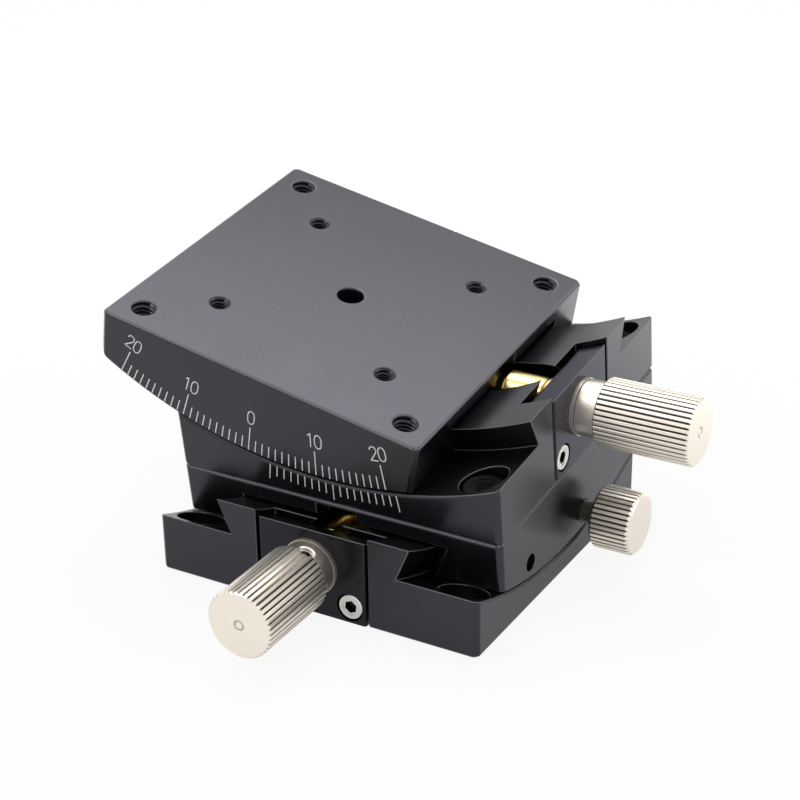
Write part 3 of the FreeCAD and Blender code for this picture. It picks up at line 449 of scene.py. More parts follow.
class Shape:
    """A mesh being made, in millimetres, in a piece's own frame."""

    MERGE = 0.001
    FLAT_ANGLE = 0.35

    def __init__(self) -> None:
        """Start an empty mesh."""
        self.mesh = bmesh.new()

    @classmethod
    def from_node(cls, name: str, place: Matrix) -> "Shape":
        """Take a merged copy of a frame node.

        Args:
            name: The node.
            place: The matrix from the piece's own frame to metres.

        Returns:
            The copy, in the piece's own frame.
        """
        shape = cls()
        shape.mesh.from_mesh(frame["nodes"][name].data)
        bmesh.ops.remove_doubles(shape.mesh, verts=shape.mesh.verts, dist=cls.MERGE * MM)
        bmesh.ops.transform(shape.mesh, matrix=place.inverted(), verts=shape.mesh.verts)
        bmesh.ops.dissolve_limit(
            shape.mesh, angle_limit=math.radians(cls.FLAT_ANGLE),
            verts=shape.mesh.verts, edges=shape.mesh.edges)
        return shape

    def turned(self, stations: Iterable[Pair], steps: int = 64) -> "Shape":
        """Turn a profile round X.

        Args:
            stations: Places along the axis and radii, from end to end.
            steps: Facets in a full turn.

        Returns:
            This shape.
        """
        verts = [self.mesh.verts.new((along, radius, 0.0)) for along, radius in stations]
        edges = [self.mesh.edges.new(pair) for pair in zip(verts, verts[1:])]
        bmesh.ops.spin(
            self.mesh, geom=verts + edges, axis=X_AXIS, angle=2 * math.pi, steps=steps, use_merge=True)
        return self.clean()

    def helix(self, section: Sequence[Pair], pitch: float, turns: float,
              steps: int = 24) -> "Shape":
        """Sweep a closed section round and along X.

        Args:
            section: Corners as places along the axis and radii.
            pitch: Travel along the axis in one turn.
            turns: How many turns.
            steps: Facets in one turn.

        Returns:
            This shape.
        """
        count = max(3, round(turns * steps))
        verts = [self.mesh.verts.new((along, radius, 0.0)) for along, radius in section]
        face = self.mesh.faces.new(verts)
        bmesh.ops.spin(
            self.mesh, geom=[*verts, *face.edges, face], axis=X_AXIS, dvec=(pitch * turns / count, 0, 0),
            angle=2 * math.pi * turns, steps=count)
        return self.clean()

    def extruded(self, edges: Sequence[BMEdge], along: float = 0.0, factor: float = 1.0) -> Loop:
        """Extrude a loop along X and scale it about the axis.

        Args:
            edges: The loop.
            along: How far the new loop stands from the old one.
            factor: Its size as a share of the old one's.

        Returns:
            The new loop's points and edges.
        """
        grown = bmesh.ops.extrude_edge_only(self.mesh, edges=edges)["geom"]
        verts = [item for item in grown if isinstance(item, BMVert)]
        bmesh.ops.translate(self.mesh, vec=(along, 0, 0), verts=verts)
        bmesh.ops.scale(self.mesh, vec=(1, factor, factor), verts=verts)
        return verts, [item for item in grown if isinstance(item, BMEdge)]

    def circle(self, along: float, radius: float, count: int) -> list[BMEdge]:
        """Add a loop round X.

        Args:
            along: Where it stands along X.
            radius: Its radius.
            count: How many edges it has.

        Returns:
            Its edges.
        """
        place = shift(along, 0, 0) @ spin(90, "Y")
        made = bmesh.ops.create_circle(self.mesh, segments=count, radius=radius, matrix=place)
        return list({edge for vert in made["verts"] for edge in vert.link_edges})

    def clean(self) -> "Shape":
        """Merge doubles and point the faces outwards."""
        bmesh.ops.remove_doubles(self.mesh, verts=self.mesh.verts, dist=1e-4)
        bmesh.ops.recalc_face_normals(self.mesh, faces=self.mesh.faces)
        return self

    def moved(self, matrix: Matrix) -> "Shape":
        """Move the whole shape in its own frame."""
        bmesh.ops.transform(self.mesh, matrix=matrix, verts=self.mesh.verts)
        return self

    def joined(self, other: "Shape") -> "Shape":
        """Take another shape's mesh in and free it.

        Args:
            other: The other shape.

        Returns:
            This shape.
        """
        spare = bpy.data.meshes.new("spare")
        other.mesh.to_mesh(spare)
        other.mesh.free()
        self.mesh.from_mesh(spare)
        bpy.data.meshes.remove(spare)
        return self

    def file(self, place: Vector, outward: Vector) -> None:
        """File away what lies beyond a plane and close the cut.

        Args:
            place: A point of the plane.
            outward: The plane's direction, away from what stays.
        """
        bmesh.ops.bisect_plane(
            self.mesh, geom=[*self.mesh.verts, *self.mesh.edges, *self.mesh.faces],
            plane_co=place, plane_no=outward, clear_outer=True, dist=1e-5)
        open_edges = [edge for edge in self.mesh.edges if edge.is_boundary]
        bmesh.ops.holes_fill(self.mesh, edges=open_edges, sides=0)

    def ease(self, width: float, wanted: Callable[[BMEdge], bool]) -> None:
        """Break the sharp edges that a test picks out.

        Args:
            width: The bevel's width.
            wanted: The test.
        """
        edges = [edge for edge in self.mesh.edges if len(edge.link_faces) == 2 and wanted(edge)]
        bmesh.ops.bevel(
            self.mesh, geom=edges, offset=width, offset_type="OFFSET", segments=1, profile=0.5,
            affect="EDGES", clamp_overlap=False, material=-1)

    def smoothed(self, limit: float = 30.0) -> "Shape":
        """Shade smooth up to an angle between faces.

        Args:
            limit: The angle in degrees.

        Returns:
            This shape.
        """
        for face in self.mesh.faces:
            face.smooth = True
        for edge in self.mesh.edges:
            edge.smooth = len(edge.link_faces) == 2 and edge.calc_face_angle(0.0) < math.radians(limit)
        return self

    def darkened(self, share: float) -> "Shape":
        """Paint shade over the whole shape, darkening its colour as if little light reached it.

        Args:
            share: How dark it gets, from 0 to 1.

        Returns:
            This shape.
        """
        layers = self.mesh.verts.layers.float
        recess = layers.get("recess") or layers.new("recess")
        for vert in self.mesh.verts:
            vert[recess] = share
        return self

    def rub_edges(self, wear: Wear) -> None:
        """Give the chamfers a painted highlight, the piece's second finish.

        Args:
            wear: Which strips count as chamfers.
        """
        for face in self.mesh.faces:
            rising = wear.rising[0] < face.normal.z < wear.rising[1]
            width, bend = wear.upward if rising else wear.elsewhere
            rim = sum(edge.calc_length() for edge in face.edges)
            bent = sum(edge.calc_length() for edge in face.edges
                       if edge.calc_face_angle(0.0) > math.radians(bend))
            if 2 * face.calc_area() / rim < width and bent > wear.share * rim:
                face.material_index = 1

    def object(self, name: str) -> bpy.types.Object:
        """Make an object of the mesh, link it and free the mesh.

        Args:
            name: The object's name.

        Returns:
            The object.
        """
        data = bpy.data.meshes.new(name)
        self.mesh.to_mesh(data)
        self.mesh.free()
        thing = bpy.data.objects.new(name, data)
        bpy.context.scene.collection.objects.link(thing)
        return thing

    def piece(self, name: str, place: Matrix, body: str, finish: Finish,
              replaces: Sequence[str] = (), edges: Finish | None = None) -> bpy.types.Object:
        """Make the piece, place it and hang it on its body.

        Args:
            name: The piece's name.
            place: The matrix from its own frame to metres.
            body: The body that it rides on.
            finish: Its finish.
            replaces: The frame nodes that it stands for.
            edges: The finish of its chamfers, which paints a highlight on them.

        Returns:
            The piece's object.
        """
        own = self.mesh.verts.layers.float_vector.new("own_place")
        for vert in self.mesh.verts:
            vert[own] = vert.co
        thing = self.moved(place).object(name)
        thing.data.materials.append(finish.material())
        if edges:
            thing.data.materials.append(edges.material())
        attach(thing, body)
        if replaces:
            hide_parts(*replaces)
        LOG.info("%s: %d faces, rides on %s", name, len(thing.data.polygons), body)
        return thing


@dataclass
class Housing:
    """The black blocks of one unit: base, table and bracket, with their edges broken."""

    unit: UnitFrame
    easing: float = 0.12
    shortest: float = 0.25
    sharp: float = 25.0
    smooth_limit: float = 15.0
    wear: Wear = Wear()
    flange_corner: float = 4.0
    corner_facets: int = 4
    bracket_holes: tuple[Triple, ...] = (
        (0.0, 8.7, 3.7), (7.04, 2.86, 2.6), (-7.04, 2.86, 2.6), (0.0, -99.4, 100.0))

    def build(self) -> None:
        """Dress the base, the table and the bracket."""
        self.block("base", "base")
        self.block("table", "table")
        self.block("worm_bracket", "base", SHADED_BLACK, self.bracket_holes)

    def block(self, name: str, part: str, finish: Finish = BLACK, spared: Sequence[Triple] = ()) -> None:
        """Dress one block.

        Args:
            name: The node's name without its unit.
            part: The part of the unit that it rides on.
            finish: Its finish.
            spared: Circles whose edges stay sharp.
        """
        node = self.unit.node(name)
        place = self.unit.table if part == "table" else self.unit.base
        shape = Shape.from_node(node, place)
        limit = math.radians(self.sharp)
        shape.ease(self.easing, lambda edge: (
            edge.calc_length() > self.shortest and edge.calc_face_angle(0.0) > limit
            and not self.kept_sharp(edge, spared)))
        if name == "table":
            self.round_flange_corners(shape)
        # Chamfers get the lighter edge finish, a painted highlight.
        shape.smoothed(self.smooth_limit).rub_edges(self.wear)
        shape.piece(f"{node}_block", place, self.unit.body(part), finish, [node], EDGE_HIGHLIGHT_BLACK)

    def round_flange_corners(self, shape: Shape) -> None:
        """Round the low corners where the flanges' curved edges meet the end away from the knob.

        Args:
            shape: The table.
        """
        radius = self.flange_corner
        across = SIZES.half - radius
        drop = math.sqrt((SIZES.flange_radius - radius) ** 2 - across ** 2)
        centre = Vector((-across, 0.0, SIZES.tilt_height - drop))
        turn = math.acos(SIZES.half / SIZES.flange_radius)
        for number in range(1, self.corner_facets + 1):
            angle = turn * number / (self.corner_facets + 1)
            outward = Vector((-math.cos(angle), 0.0, -math.sin(angle)))
            shape.file(centre + outward * radius, outward)
        shape.clean()

    @staticmethod
    def kept_sharp(edge: BMEdge, spared: Sequence[Triple]) -> bool:
        """Whether an edge lies within one of the spared circles, given across, up and radius."""
        return any(all(math.hypot(vert.co.y - across, vert.co.z - up) < radius for vert in edge.verts)
                   for across, up, radius in spared)


@dataclass
class FlutedBarrel:
    """Barrel with straight flutes, turned ends and chamfers where they meet."""

    radius: float
    length: float
    chamfer: float = 0.3
    run_out: float = 0.5
    flutes: int = 40
    flute_depth: float = 0.25
    # Painted shade in the flute grooves grows with their depth at this rate.
    darkening: float = 1.7
    smooth_limit: float = 24.0
    depths: tuple[float, ...] = (1.0, 0.48, 0.0, 0.0, 0.0, 0.0, 0.0, 0.48)
    # Centre mark rings: depth, radius and painted shade in the dimple.
    centre_mark: tuple[Triple, ...] = (
        (0.0, 1.2, 0.0), (0.0, 1.0, 0.0), (-0.1, 0.9, 0.45), (-0.1, 0.63, 0.45), (-0.04, 0.54, 0.0),
        (-0.04, 0.09, 0.0))

    def build(self, start: float, marked: bool = False) -> Shape:
        """Make the barrel.

        Args:
            start: Where its near end stands along X.
            marked: Whether its far end has a centre mark.

        Returns:
            The barrel's shape.
        """
        shape = Shape()
        self.recess = shape.mesh.verts.layers.float.new("recess")
        inner = self.radius - self.chamfer
        end = start + self.length
        edges = shape.circle(start, inner, self.flutes * len(self.depths))
        bmesh.ops.contextual_create(shape.mesh, geom=edges)
        # Rings: place, way along the chamfer, and painted shade on the flutes there.
        for along, inward, painted_darkness in (
                (start, 1.0, 1.0), (end - self.run_out, 0.0, 1.0), (end, -1.0, 0.5), (end, 0.0, 0.0)):
            verts, edges = self.ring(shape, edges, along, inner)
            if painted_darkness:
                self.flute(verts, inward, painted_darkness)
        for depth, radius, painted_darkness in self.centre_mark if marked else ():
            verts, edges = self.ring(shape, edges, end + depth, radius, painted_darkness)
        bmesh.ops.contextual_create(shape.mesh, geom=edges)
        return shape.clean().smoothed(self.smooth_limit)

    def ring(self, shape: Shape, edges: list[BMEdge], along: float, radius: float,
             painted_darkness: float = 0.0) -> Loop:
        """Extrude a loop and lay it in a circle round X.

        Args:
            shape: The shape being made.
            edges: The loop.
            along: Where the new loop stands along X.
            radius: Its radius.
            painted_darkness: How much painted shade it gets.

        Returns:
            The new loop's points and edges.
        """
        verts, edges = shape.extruded(edges)
        for vert in verts:
            angle = math.atan2(vert.co.z, vert.co.y)
            vert.co = Vector((along, radius * math.cos(angle), radius * math.sin(angle)))
            vert[self.recess] = painted_darkness
        return verts, edges

    def flute(self, verts: Sequence[BMVert], inward: float, painted_darkness: float) -> None:
        """Move a ring out to the fluted surface and along the chamfer.

        Args:
            verts: The ring's points.
            inward: The direction along X from the end face into the barrel, or 0 off the chamfer.
            painted_darkness: How much painted shade the flutes get there.
        """
        for vert in verts:
            angle = math.atan2(vert.co.z, vert.co.y)
            step = round(angle / (2 * math.pi) * self.flutes * len(self.depths))
            depth = self.depths[step % len(self.depths)]
            radius = self.radius - self.flute_depth * depth
            rise = radius - (self.radius - self.chamfer)
            vert[self.recess] = painted_darkness * min(1.0, self.darkening * depth)
            vert.co = Vector((
                vert.co.x + inward * rise, radius * math.cos(angle), radius * math.sin(angle)))


@dataclass
class ScrewThread:
    """Ridge of a screw thread, inside a hole or on a stem."""

    radius: float
    pitch: float
    depth_share: float = 0.5
    flat_share: float = 1 / 12
    sunk: float = 0.04
    gap: float = 0.02

    def ridge(self, start: float, length: float, inside: bool) -> Shape:
        """Make the ridge along X.

        Args:
            start: Where it begins along X.
            length: How far it runs.
            inside: Whether it stands inward from a hole's wall.

        Returns:
            The ridge's shape.
        """
        way = -1.0 if inside else 1.0
        foot = self.radius - way * self.sunk
        crest = self.radius + way * self.depth_share * self.pitch
        middle = start + self.pitch / 2 - self.gap
        flat = self.pitch * self.flat_share
        section = [
            (start, foot), (middle - flat, crest), (middle + flat, crest), (2 * middle - start, foot)]
        turns = (length - self.pitch) / self.pitch
        return Shape().helix(section, self.pitch, turns).smoothed(40.0)


@dataclass
class Knob:
    """Worm knob: smooth collar, fluted grip, threaded set-screw hole, and the set screw in it."""

    unit: UnitFrame
    collar_radius: float = 4.75
    collar_edge: float = 0.18
    # Painted shade over the whole collar, to make it look darker.
    collar_darkness: float = 0.3
    bore_radius: float = 1.6
    overlap: float = 0.05
    grip_radius: float = 5.75
    hole_place: float = 33.81
    hole_radius: float = 1.5
    hole_start: float = 1.7
    hole_end: float = 9.0
    thread_pitch: float = 0.5
    thread_start: float = 2.8
    thread_length: float = 2.25
    screw_radius: float = 1.42
    screw_length: float = 2.4
    screw_top: float = 4.0

    def build(self) -> None:
        """Make the knob and its set screw."""
        name, place, body = self.unit.node, self.unit.knob, self.unit.body("drive")
        grip = FlutedBarrel(self.grip_radius, SIZES.grip_length).build(SIZES.grip_start, True)
        self.bore(self.collar().joined(grip).piece(name("knob_turned"), place, body, NICKEL, [name("knob")]))
        thread = ScrewThread(self.hole_radius, self.thread_pitch).ridge(0.0, self.thread_length, True)
        thread.moved(self.across(self.thread_start)).piece(name("knob_thread"), place, body, NICKEL)
        screw = SocketHead(self.screw_radius, self.screw_length, 0.75, 1.3).build()
        screw.moved(self.across(self.screw_top - self.screw_length)).piece(
            name("knob_set_screw_socketed"), place, body, OXIDE, [name("knob_set_screw")])

    def across(self, height: float) -> Matrix:
        """The matrix that stands a piece in the hole, at a height over the knob's axis."""
        return shift(self.hole_place, 0, 0) @ spin(-90, "Y") @ shift(height, 0, 0)

    def collar(self) -> Shape:
        """Turn the collar with a small broken edge at its bracket end, and paint shade over all of it.

        Returns:
            The collar's shape.
        """
        start = SIZES.knob_start
        end = SIZES.grip_start + self.overlap
        edge = self.collar_edge
        return Shape().turned([
            (start, self.bore_radius), (start, self.collar_radius - edge), (start + edge, self.collar_radius),
            (end, self.collar_radius), (end, self.bore_radius), (start, self.bore_radius),
        ], 96).smoothed().darkened(self.collar_darkness)

    def bore(self, knob: bpy.types.Object) -> None:
        """Cut the set-screw hole through the collar's wall and the grip's edge.

        Args:
            knob: The knob's object, in place.
        """
        cutter = Shape().turned([
            (self.hole_start, 0.0), (self.hole_start, self.hole_radius),
            (self.hole_end, self.hole_radius), (self.hole_end, 0.0),
        ], 48).moved(self.unit.knob @ self.across(0.0)).object("hole_cutter")
        cut = knob.modifiers.new("set_screw_hole", "BOOLEAN")
        cut.operation = "DIFFERENCE"
        cut.solver = "EXACT"
        cut.use_self = True
        cut.object = cutter
        bpy.context.view_layer.update()
        made = bpy.data.meshes.new_from_object(knob.evaluated_get(bpy.context.evaluated_depsgraph_get()))
        shape = Shape()
        shape.mesh.from_mesh(made)
        shape.smoothed(FlutedBarrel.smooth_limit).mesh.to_mesh(made)
        shape.mesh.free()
        knob.modifiers.clear()
        knob.data = made
        bpy.data.meshes.remove(cutter.data)


@dataclass(frozen=True)
class SocketHead:
    """Round head with a hexagon socket, standing along X with its top at its far end."""

    radius: float
    height: float
    socket_radius: float
    socket_depth: float
    edge: float = 0.2
    steps: int = 48
    dish_share: float = 1.22
    dish_rim: float = 0.05
    dish_depth: float = 0.12

    def build(self) -> Shape:
        """Make the head from its underside up, then the socket.

        Returns:
            The head's shape.
        """
        shape = Shape()
        edges = shape.circle(0.0, self.radius, self.steps)
        bmesh.ops.contextual_create(shape.mesh, geom=edges)
        flat = self.radius - self.edge
        dish = self.dish_share * self.socket_radius
        lip = dish + self.dish_rim
        for along, factor in ((self.height - self.edge, 1.0), (self.edge, flat / self.radius),
                              (0.0, lip / flat), (-self.dish_depth, dish / lip)):
            edges = shape.extruded(edges, along, factor)[1]
        hexagon = shape.circle(self.height - self.dish_depth, self.socket_radius, 6)
        bmesh.ops.bridge_loops(shape.mesh, edges=edges + hexagon)
        # The socket's walls and floor get full painted shade.
        recess = shape.mesh.verts.layers.float.new("recess")
        for along, factor in ((-0.1, 0.98), (-self.socket_depth, 1.0), (-0.3 * self.socket_radius, 0.05)):
            verts, hexagon = shape.extruded(hexagon, along, factor)
            for vert in verts:
                vert[recess] = 1.0
        bmesh.ops.contextual_create(shape.mesh, geom=hexagon)
        return shape.clean().smoothed()


@dataclass(frozen=True)
class CapScrew:
    """Cap screw along X: a socket head on a plain shank."""

    head: SocketHead
    length: float
    radius: float
    neck: float
    steps: int

    def build(self) -> Shape:
        """Make the screw with its head's underside at 0."""
        shank = Shape().turned(
            [(-self.length, 0.0), (-self.length, self.radius), (0.0, self.neck), (0.0, 0.0)], self.steps)
        return self.head.build().joined(shank)


@dataclass
class BracketScrews:
    """Cap screws in the worm bracket."""

    unit: UnitFrame
    screw: CapScrew = CapScrew(SocketHead(2.25, 2.5, 1.15, 1.3), 9.5, 1.1, 1.2, 24)
    places: tuple[Triple, ...] = ((7.04, 2.86, 23.0), (-7.04, 2.86, 54.0))
    sunk: float = 0.1

    def build(self) -> None:
        """Make both screws as one piece."""
        shape = Shape()
        for across, up, angle in self.places:
            seat = shift(SIZES.half - self.screw.head.height - self.sunk, across, up)
            shape.joined(self.screw.build().moved(seat @ spin(angle, "X")))
        shape.piece(self.unit.node("bracket_cap_screws"), self.unit.base, self.unit.body("base"), STEEL,
                    [self.unit.node("bracket_screws")])


@dataclass
class JoiningScrews:
    """Cap screws through the upper base into the lower table."""

    unit: UnitFrame
    screw: CapScrew = CapScrew(SocketHead(3.5, 4.0, 1.73, 2.0, 0.25, 64), 9.9, 1.8, 1.95, 32)
    floor: float = 3.0
    turn_step: float = 40.0

    def build(self) -> None:
        """Make the four screws as one piece."""
        shape = Shape()
        place = SIZES.half - SIZES.m4_inset
        for number, (x, y) in enumerate(CORNERS):
            seat = shift(x * place, y * place, self.floor) @ spin(-90, "Y")
            shape.joined(self.screw.build().moved(seat @ spin(self.turn_step * number, "X")))
        shape.piece(
            "joining_cap_screws", self.unit.base, self.unit.body("base"), MATT_OXIDE, ["joining_screws"])


@dataclass
class LockScrew:
    """Thumbscrew on the table's side: fluted head and threaded stem."""

    unit: UnitFrame
    head_start: float = 33.0
    head_length: float = 7.2
    head_radius: float = 5.4
    head_chamfer: float = 0.5
    head_flutes: int = 38
    overlap: float = 0.1
    stem_start: float = 19.0
    stem_radius: float = 1.72
    stem_pitch: float = 0.4
    stem_darkness: float = 0.85

    def build(self) -> None:
        """Make the screw."""
        barrel = FlutedBarrel(
            self.head_radius, self.head_length, self.head_chamfer, flutes=self.head_flutes)
        end = self.head_start + self.overlap
        stem = Shape().turned([
            (self.stem_start, 0.0), (self.stem_start, self.stem_radius), (end, self.stem_radius), (end, 0.0),
        ], 32).smoothed()
        thread = ScrewThread(self.stem_radius, self.stem_pitch).ridge(
            self.stem_start, self.head_start - self.stem_start, False)
        node = self.unit.node("lock_screw")
        # The stem and its thread get painted shade, as if they stood in shadow.
        stem.joined(thread).darkened(self.stem_darkness)
        barrel.build(self.head_start).joined(stem).piece(
            f"{node}_turned", self.unit.lock, self.unit.body("lock"), NICKEL, [node])


@dataclass
class TappedHoles:
    """Threads in the holes of the table's top: radius, pitch, place off the middle and depth."""

    unit: UnitFrame
    threads: tuple[Quad, ...] = (
        (2.0, 0.7, SIZES.half - SIZES.m4_inset, 8.6), (1.5, 0.5, SIZES.m3_pitch / 2, 5.7))
    sunk: float = 0.25

    def build(self) -> None:
        """Make the threads as one piece."""
        shape = Shape()
        for radius, pitch, place, depth in self.threads:
            for x, y in CORNERS:
                seat = shift(x * place, y * place, SIZES.height - self.sunk) @ spin(90, "Y")
                shape.joined(ScrewThread(radius, pitch).ridge(0.0, depth, True).moved(seat))
        shape.piece(self.unit.node("table_threads"), self.unit.table, self.unit.body("table"), BLACK)


@dataclass
class Scale:
    """Degree lines and figures on the curved edge of a table, and the index lines on its base."""

    unit: UnitFrame
    radius: float = SIZES.flange_radius
    reach: int = 20
    line_start: float = 0.45
    short_line: float = 2.75
    long_line: float = 5.0
    index_reach: int = 9
    index_start: float = 0.55
    short_index: float = 2.6
    long_index: float = 3.55
    line_width: float = 0.19
    thickness: float = 0.02
    sunk: float = 0.005
    figure_drop: float = 5.7
    figure_height: float = 2.55
    figure_pitch: float = 1.55
    figure_spare: float = 0.04

    def build(self) -> None:
        """Make the table's scale and the base's index."""
        table = Shape()
        for degree in range(-self.reach, self.reach + 1):
            length = self.short_line if degree % 10 else self.long_line
            self.radial(table, degree, self.radius - self.line_start, self.radius - length)
        for degree in range(-self.reach, self.reach + 1, 10):
            self.figures(table, degree, self.radius - self.figure_drop, str(abs(degree)))
        table.piece(self.unit.node("scale_lines"), self.unit.axis, self.unit.body("table"), FILL)
        index = Shape()
        for degree in range(-self.index_reach, self.index_reach + 1):
            length = self.short_index if degree % self.index_reach else self.long_index
            self.radial(index, degree, self.radius + self.index_start, self.radius + length)
        place = self.unit.base @ shift(0, 0, SIZES.tilt_height)
        index.piece(self.unit.node("index_lines"), place, self.unit.body("base"), FILL)

    def radial(self, shape: Shape, degree: float, start: float, end: float) -> None:
        """Lay one line from one radius to another, degrees off the middle."""
        ray = Vector((math.sin(math.radians(degree)), -math.cos(math.radians(degree))))
        self.stroke(shape, ray * start, ray * end)

    def figures(self, shape: Shape, degree: float, radius: float, number: str) -> None:
        """Lay a number over its line, upright along the radius.

        Args:
            shape: The shape that gets it.
            degree: How far it stands off the middle.
            radius: How far its foot stands from the tilt axis.
            number: Its digits.
        """
        angle = math.radians(degree)
        up = Vector((-math.sin(angle), math.cos(angle)))
        side = Vector((math.cos(angle), math.sin(angle)))
        for place, digit in enumerate(number):
            shift = (place - (len(number) - 1) / 2) * self.figure_pitch
            foot = side * shift - up * radius
            corners = [foot + (side * x + up * y) * self.figure_height for x, y in FIGURES[digit]]
            for start, end in zip(corners, corners[1:]):
                self.stroke(shape, start, end, self.figure_spare)

    def stroke(self, shape: Shape, start: Vector, end: Vector, spare: float = 0.0) -> None:
        """Lay one thin bar on the scale's face.

        Args:
            shape: The shape that gets it.
            start: One end, as places along X and up from the tilt axis.
            end: The other end.
            spare: How far it runs past both ends, so that strokes meet.
        """
        run = end - start
        middle = (start + end) / 2
        size = Matrix.Diagonal((run.length + 2 * spare, self.thickness, self.line_width, 1.0))
        turn = Matrix.Rotation(-math.atan2(run.y, run.x), 4, "Y")
        face = -SIZES.half - self.thickness / 2 + self.sunk
        place = shift(middle.x, face, middle.y)
        bmesh.ops.create_cube(shape.mesh, size=1.0, matrix=place @ turn @ size)


@dataclass
class WormDrive:
    """Brass worm with a smooth thread and shoulder, and the bright parts round it."""

    unit: UnitFrame
    bore: float = 1.52
    root: float = 2.1
    crest: float = 3.2
    pitch: float = 2.3736
    half_foot: float = 0.95
    half_crest: float = 0.36
    sunk: float = 0.1
    rear: float = -5.0
    front: float = 15.6
    shoulder_start: float = 16.8
    shoulder_end: float = 24.1
    shoulder: float = 3.45
    shoulder_edge: float = 0.4

    def build(self) -> None:
        """Make the worm, turned as far as its table's tilt at rest has turned it."""
        edge = self.shoulder_edge
        core = Shape().turned([
            (self.rear, self.bore), (self.rear, self.root), (self.shoulder_start, self.root),
            (self.shoulder_start, self.shoulder - edge), (self.shoulder_start + edge, self.shoulder),
            (self.shoulder_end - edge, self.shoulder), (self.shoulder_end, self.shoulder - edge),
            (self.shoulder_end, self.bore), (self.rear, self.bore),
        ]).smoothed()
        start = self.pitch * math.ceil((self.rear + self.half_foot) / self.pitch)
        turns = math.floor((self.front - self.half_foot - start) / self.pitch)
        foot = self.root - self.sunk
        section = [
            (start - self.half_foot, foot), (start - self.half_crest, self.crest),
            (start + self.half_crest, self.crest), (start + self.half_foot, foot),
        ]
        thread = Shape().helix(section, self.pitch, turns, 48).smoothed()
        turn = spin(self.unit.worm_turn + 90, "X")
        node = self.unit.node("worm")
        core.joined(thread).moved(turn).piece(
            f"{node}_threaded", self.unit.worm, self.unit.body("drive"), BRASS, [node])


@dataclass
class PlainParts:
    """Frame nodes whose shape is right, with the finish and the part of the unit of each."""

    unit: UnitFrame
    smooth_limit: float = 28.0
    parts: tuple[tuple[str, Finish, str], ...] = (
        ("wheel_segment", BRASS, "table"), ("wheel_screws", STEEL, "table"), ("worm_shaft", STEEL, "drive"),
        ("front_bush", BRONZE, "base"), ("rear_bush", BRONZE, "base"), ("thrust_washer", SATIN, "base"),
        ("gib", GIB, "table"), ("gib_screws", OXIDE, "table"),
    )

    def build(self) -> None:
        """Dress merged copies in their finishes, whose rings follow the worm's axis on turned parts."""
        for name, finish, part in self.parts:
            node = self.unit.node(name)
            place = self.unit.base if part == "table" else self.unit.worm
            shape = Shape.from_node(node, place).smoothed(self.smooth_limit)
            shape.piece(f"{node}_dressed", place, self.unit.body(part), finish, [node])


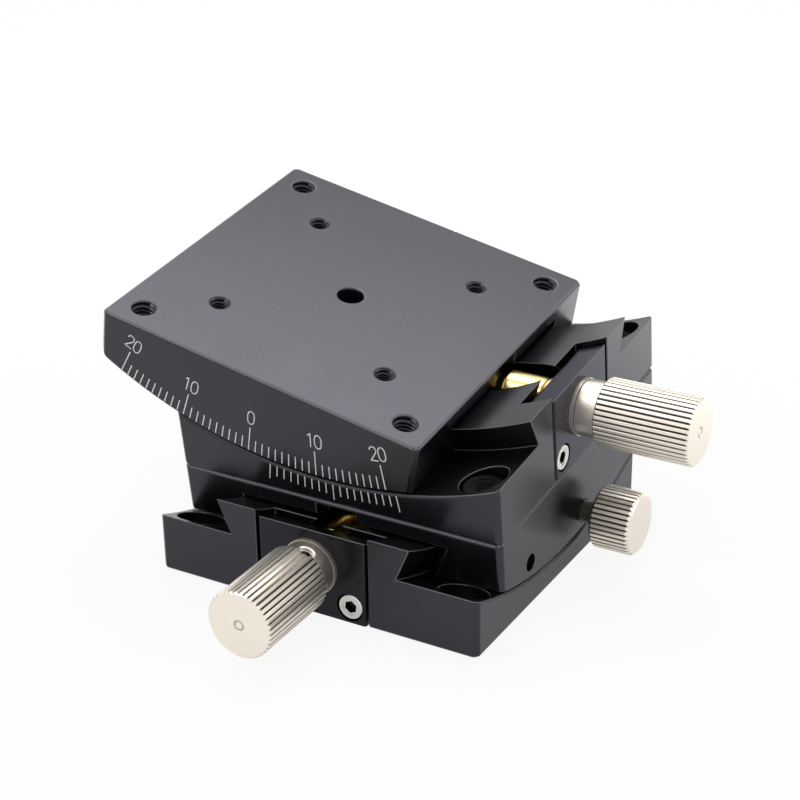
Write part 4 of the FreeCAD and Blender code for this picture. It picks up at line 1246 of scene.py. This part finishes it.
@dataclass
class Studio:
    """White surround, soft lights, floor and camera."""

    camera_place: Triple = (0.14477, -0.25052, 0.16121)
    azimuth: float = 30.122
    elevation: float = 25.127
    roll: float = -0.839
    lens: float = 85.28
    sensor: float = 36.0
    clip: Pair = (0.01, 50.0)
    floor_reach: float = 4.0
    floor_colour: float = 0.90
    floor_share: float = 0.90
    mirrored: float = 0.57
    bright_strength: float = 2.2
    bright_share: float = 0.6
    bright_start: float = 0.055
    bright_ramp: float = 0.06
    ambient: float = 0.6
    ambient_colour: Quad = (0.97, 0.98, 1.0, 1.0)
    target: Triple = (0.0, 0.0, 0.03)
    soft_boxes: tuple[tuple[str, Triple, float, float], ...] = (
        ("overhead", (-0.17, 0.29, 0.72), 0.50, 2.6),
        ("right_side", (0.75, 0.30, 0.35), 0.40, 1.0),
        ("front_high", (-0.35, -0.33, 0.62), 0.25, 0.7),
    )

    def build(self) -> None:
        """Set up everything that isn't the object."""
        self.floor()
        self.world()
        self.lights()
        self.camera()

    def floor(self) -> None:
        """Lay a pale floor that shows white, keeps a faint shadow and mirrors brighter behind."""
        shape = Shape()
        bmesh.ops.create_grid(shape.mesh, x_segments=8, y_segments=8, size=self.floor_reach)
        floor = shape.object("floor")
        material = bpy.data.materials.new("floor_paper")
        graph = Graph(material)
        camera, gloss, glass = graph.seen()
        place = graph.node("ShaderNodeSeparateXYZ", {}, {0: graph.value("ShaderNodeTexCoord", "Object")})
        behind = ((Value(graph, place.outputs[1]) - self.bright_start) / self.bright_ramp).clamped(0.0, 1.0)
        shown = (camera + gloss * self.mirrored + glass).clamped(0.0, 1.0) * self.floor_share
        pale = (*[self.floor_colour] * 3, 1.0)
        paper = graph.value("ShaderNodeBsdfDiffuse", 0, {}, {"Color": pale})
        glow, bright = (graph.value("ShaderNodeEmission", 0, {}, {"Color": WHITE, "Strength": strength})
                        for strength in (1.0, self.bright_strength))
        plain = graph.mix(shown, paper, glow)
        graph.surface(graph.mix(gloss * behind * self.bright_share, plain, bright))
        floor.data.materials.append(material)

    def world(self) -> None:
        """Light the scene evenly and show white behind it."""
        world = bpy.data.worlds.new("white_surround")
        bpy.context.scene.world = world
        graph = Graph(world)
        camera, gloss, glass = graph.seen()
        soft, white = (
            graph.value("ShaderNodeBackground", 0, {}, {"Color": colour, "Strength": strength})
            for colour, strength in ((self.ambient_colour, self.ambient), (WHITE, 1.0)))
        shown = (camera + gloss + glass).clamped(0.0, 1.0)
        graph.surface(graph.mix(shown, soft, white), "ShaderNodeOutputWorld")

    def lights(self) -> None:
        """Hang the square lights so that they face the stage."""
        for name, place, side, power in self.soft_boxes:
            light = bpy.data.lights.new(name, "AREA")
            light.shape = "SQUARE"
            light.size = side
            light.energy = power
            holder = bpy.data.objects.new(name, light)
            turn = (Vector(place) - Vector(self.target)).to_track_quat("Z", "Y")
            holder.matrix_world = shift(*place) @ turn.to_matrix().to_4x4()
            holder.visible_camera = False
            bpy.context.scene.collection.objects.link(holder)

    def camera(self) -> None:
        """Stand the camera where the photograph was taken from."""
        lens = bpy.data.cameras.new("camera")
        lens.lens = self.lens
        lens.sensor_width = self.sensor
        lens.clip_start, lens.clip_end = self.clip
        holder = bpy.data.objects.new("camera", lens)
        turn = spin(self.azimuth, "Z") @ spin(90 - self.elevation, "X") @ spin(self.roll, "Z")
        holder.matrix_world = shift(*self.camera_place) @ turn
        bpy.context.scene.collection.objects.link(holder)
        bpy.context.scene.camera = holder


def main() -> None:
    """Build every piece of both units, then the studio."""
    logging.basicConfig(level=logging.INFO, format="%(message)s")
    bpy.context.scene.view_settings.view_transform = "Standard"
    units = {unit: UnitFrame(unit) for unit in Unit}
    for unit in units.values():
        for piece in (Housing, Knob, LockScrew, BracketScrews, TappedHoles, WormDrive, PlainParts, Scale):
            piece(unit).build()
    JoiningScrews(units[Unit.UPPER]).build()
    Studio().build()


if __name__ == "__main__":
    main()
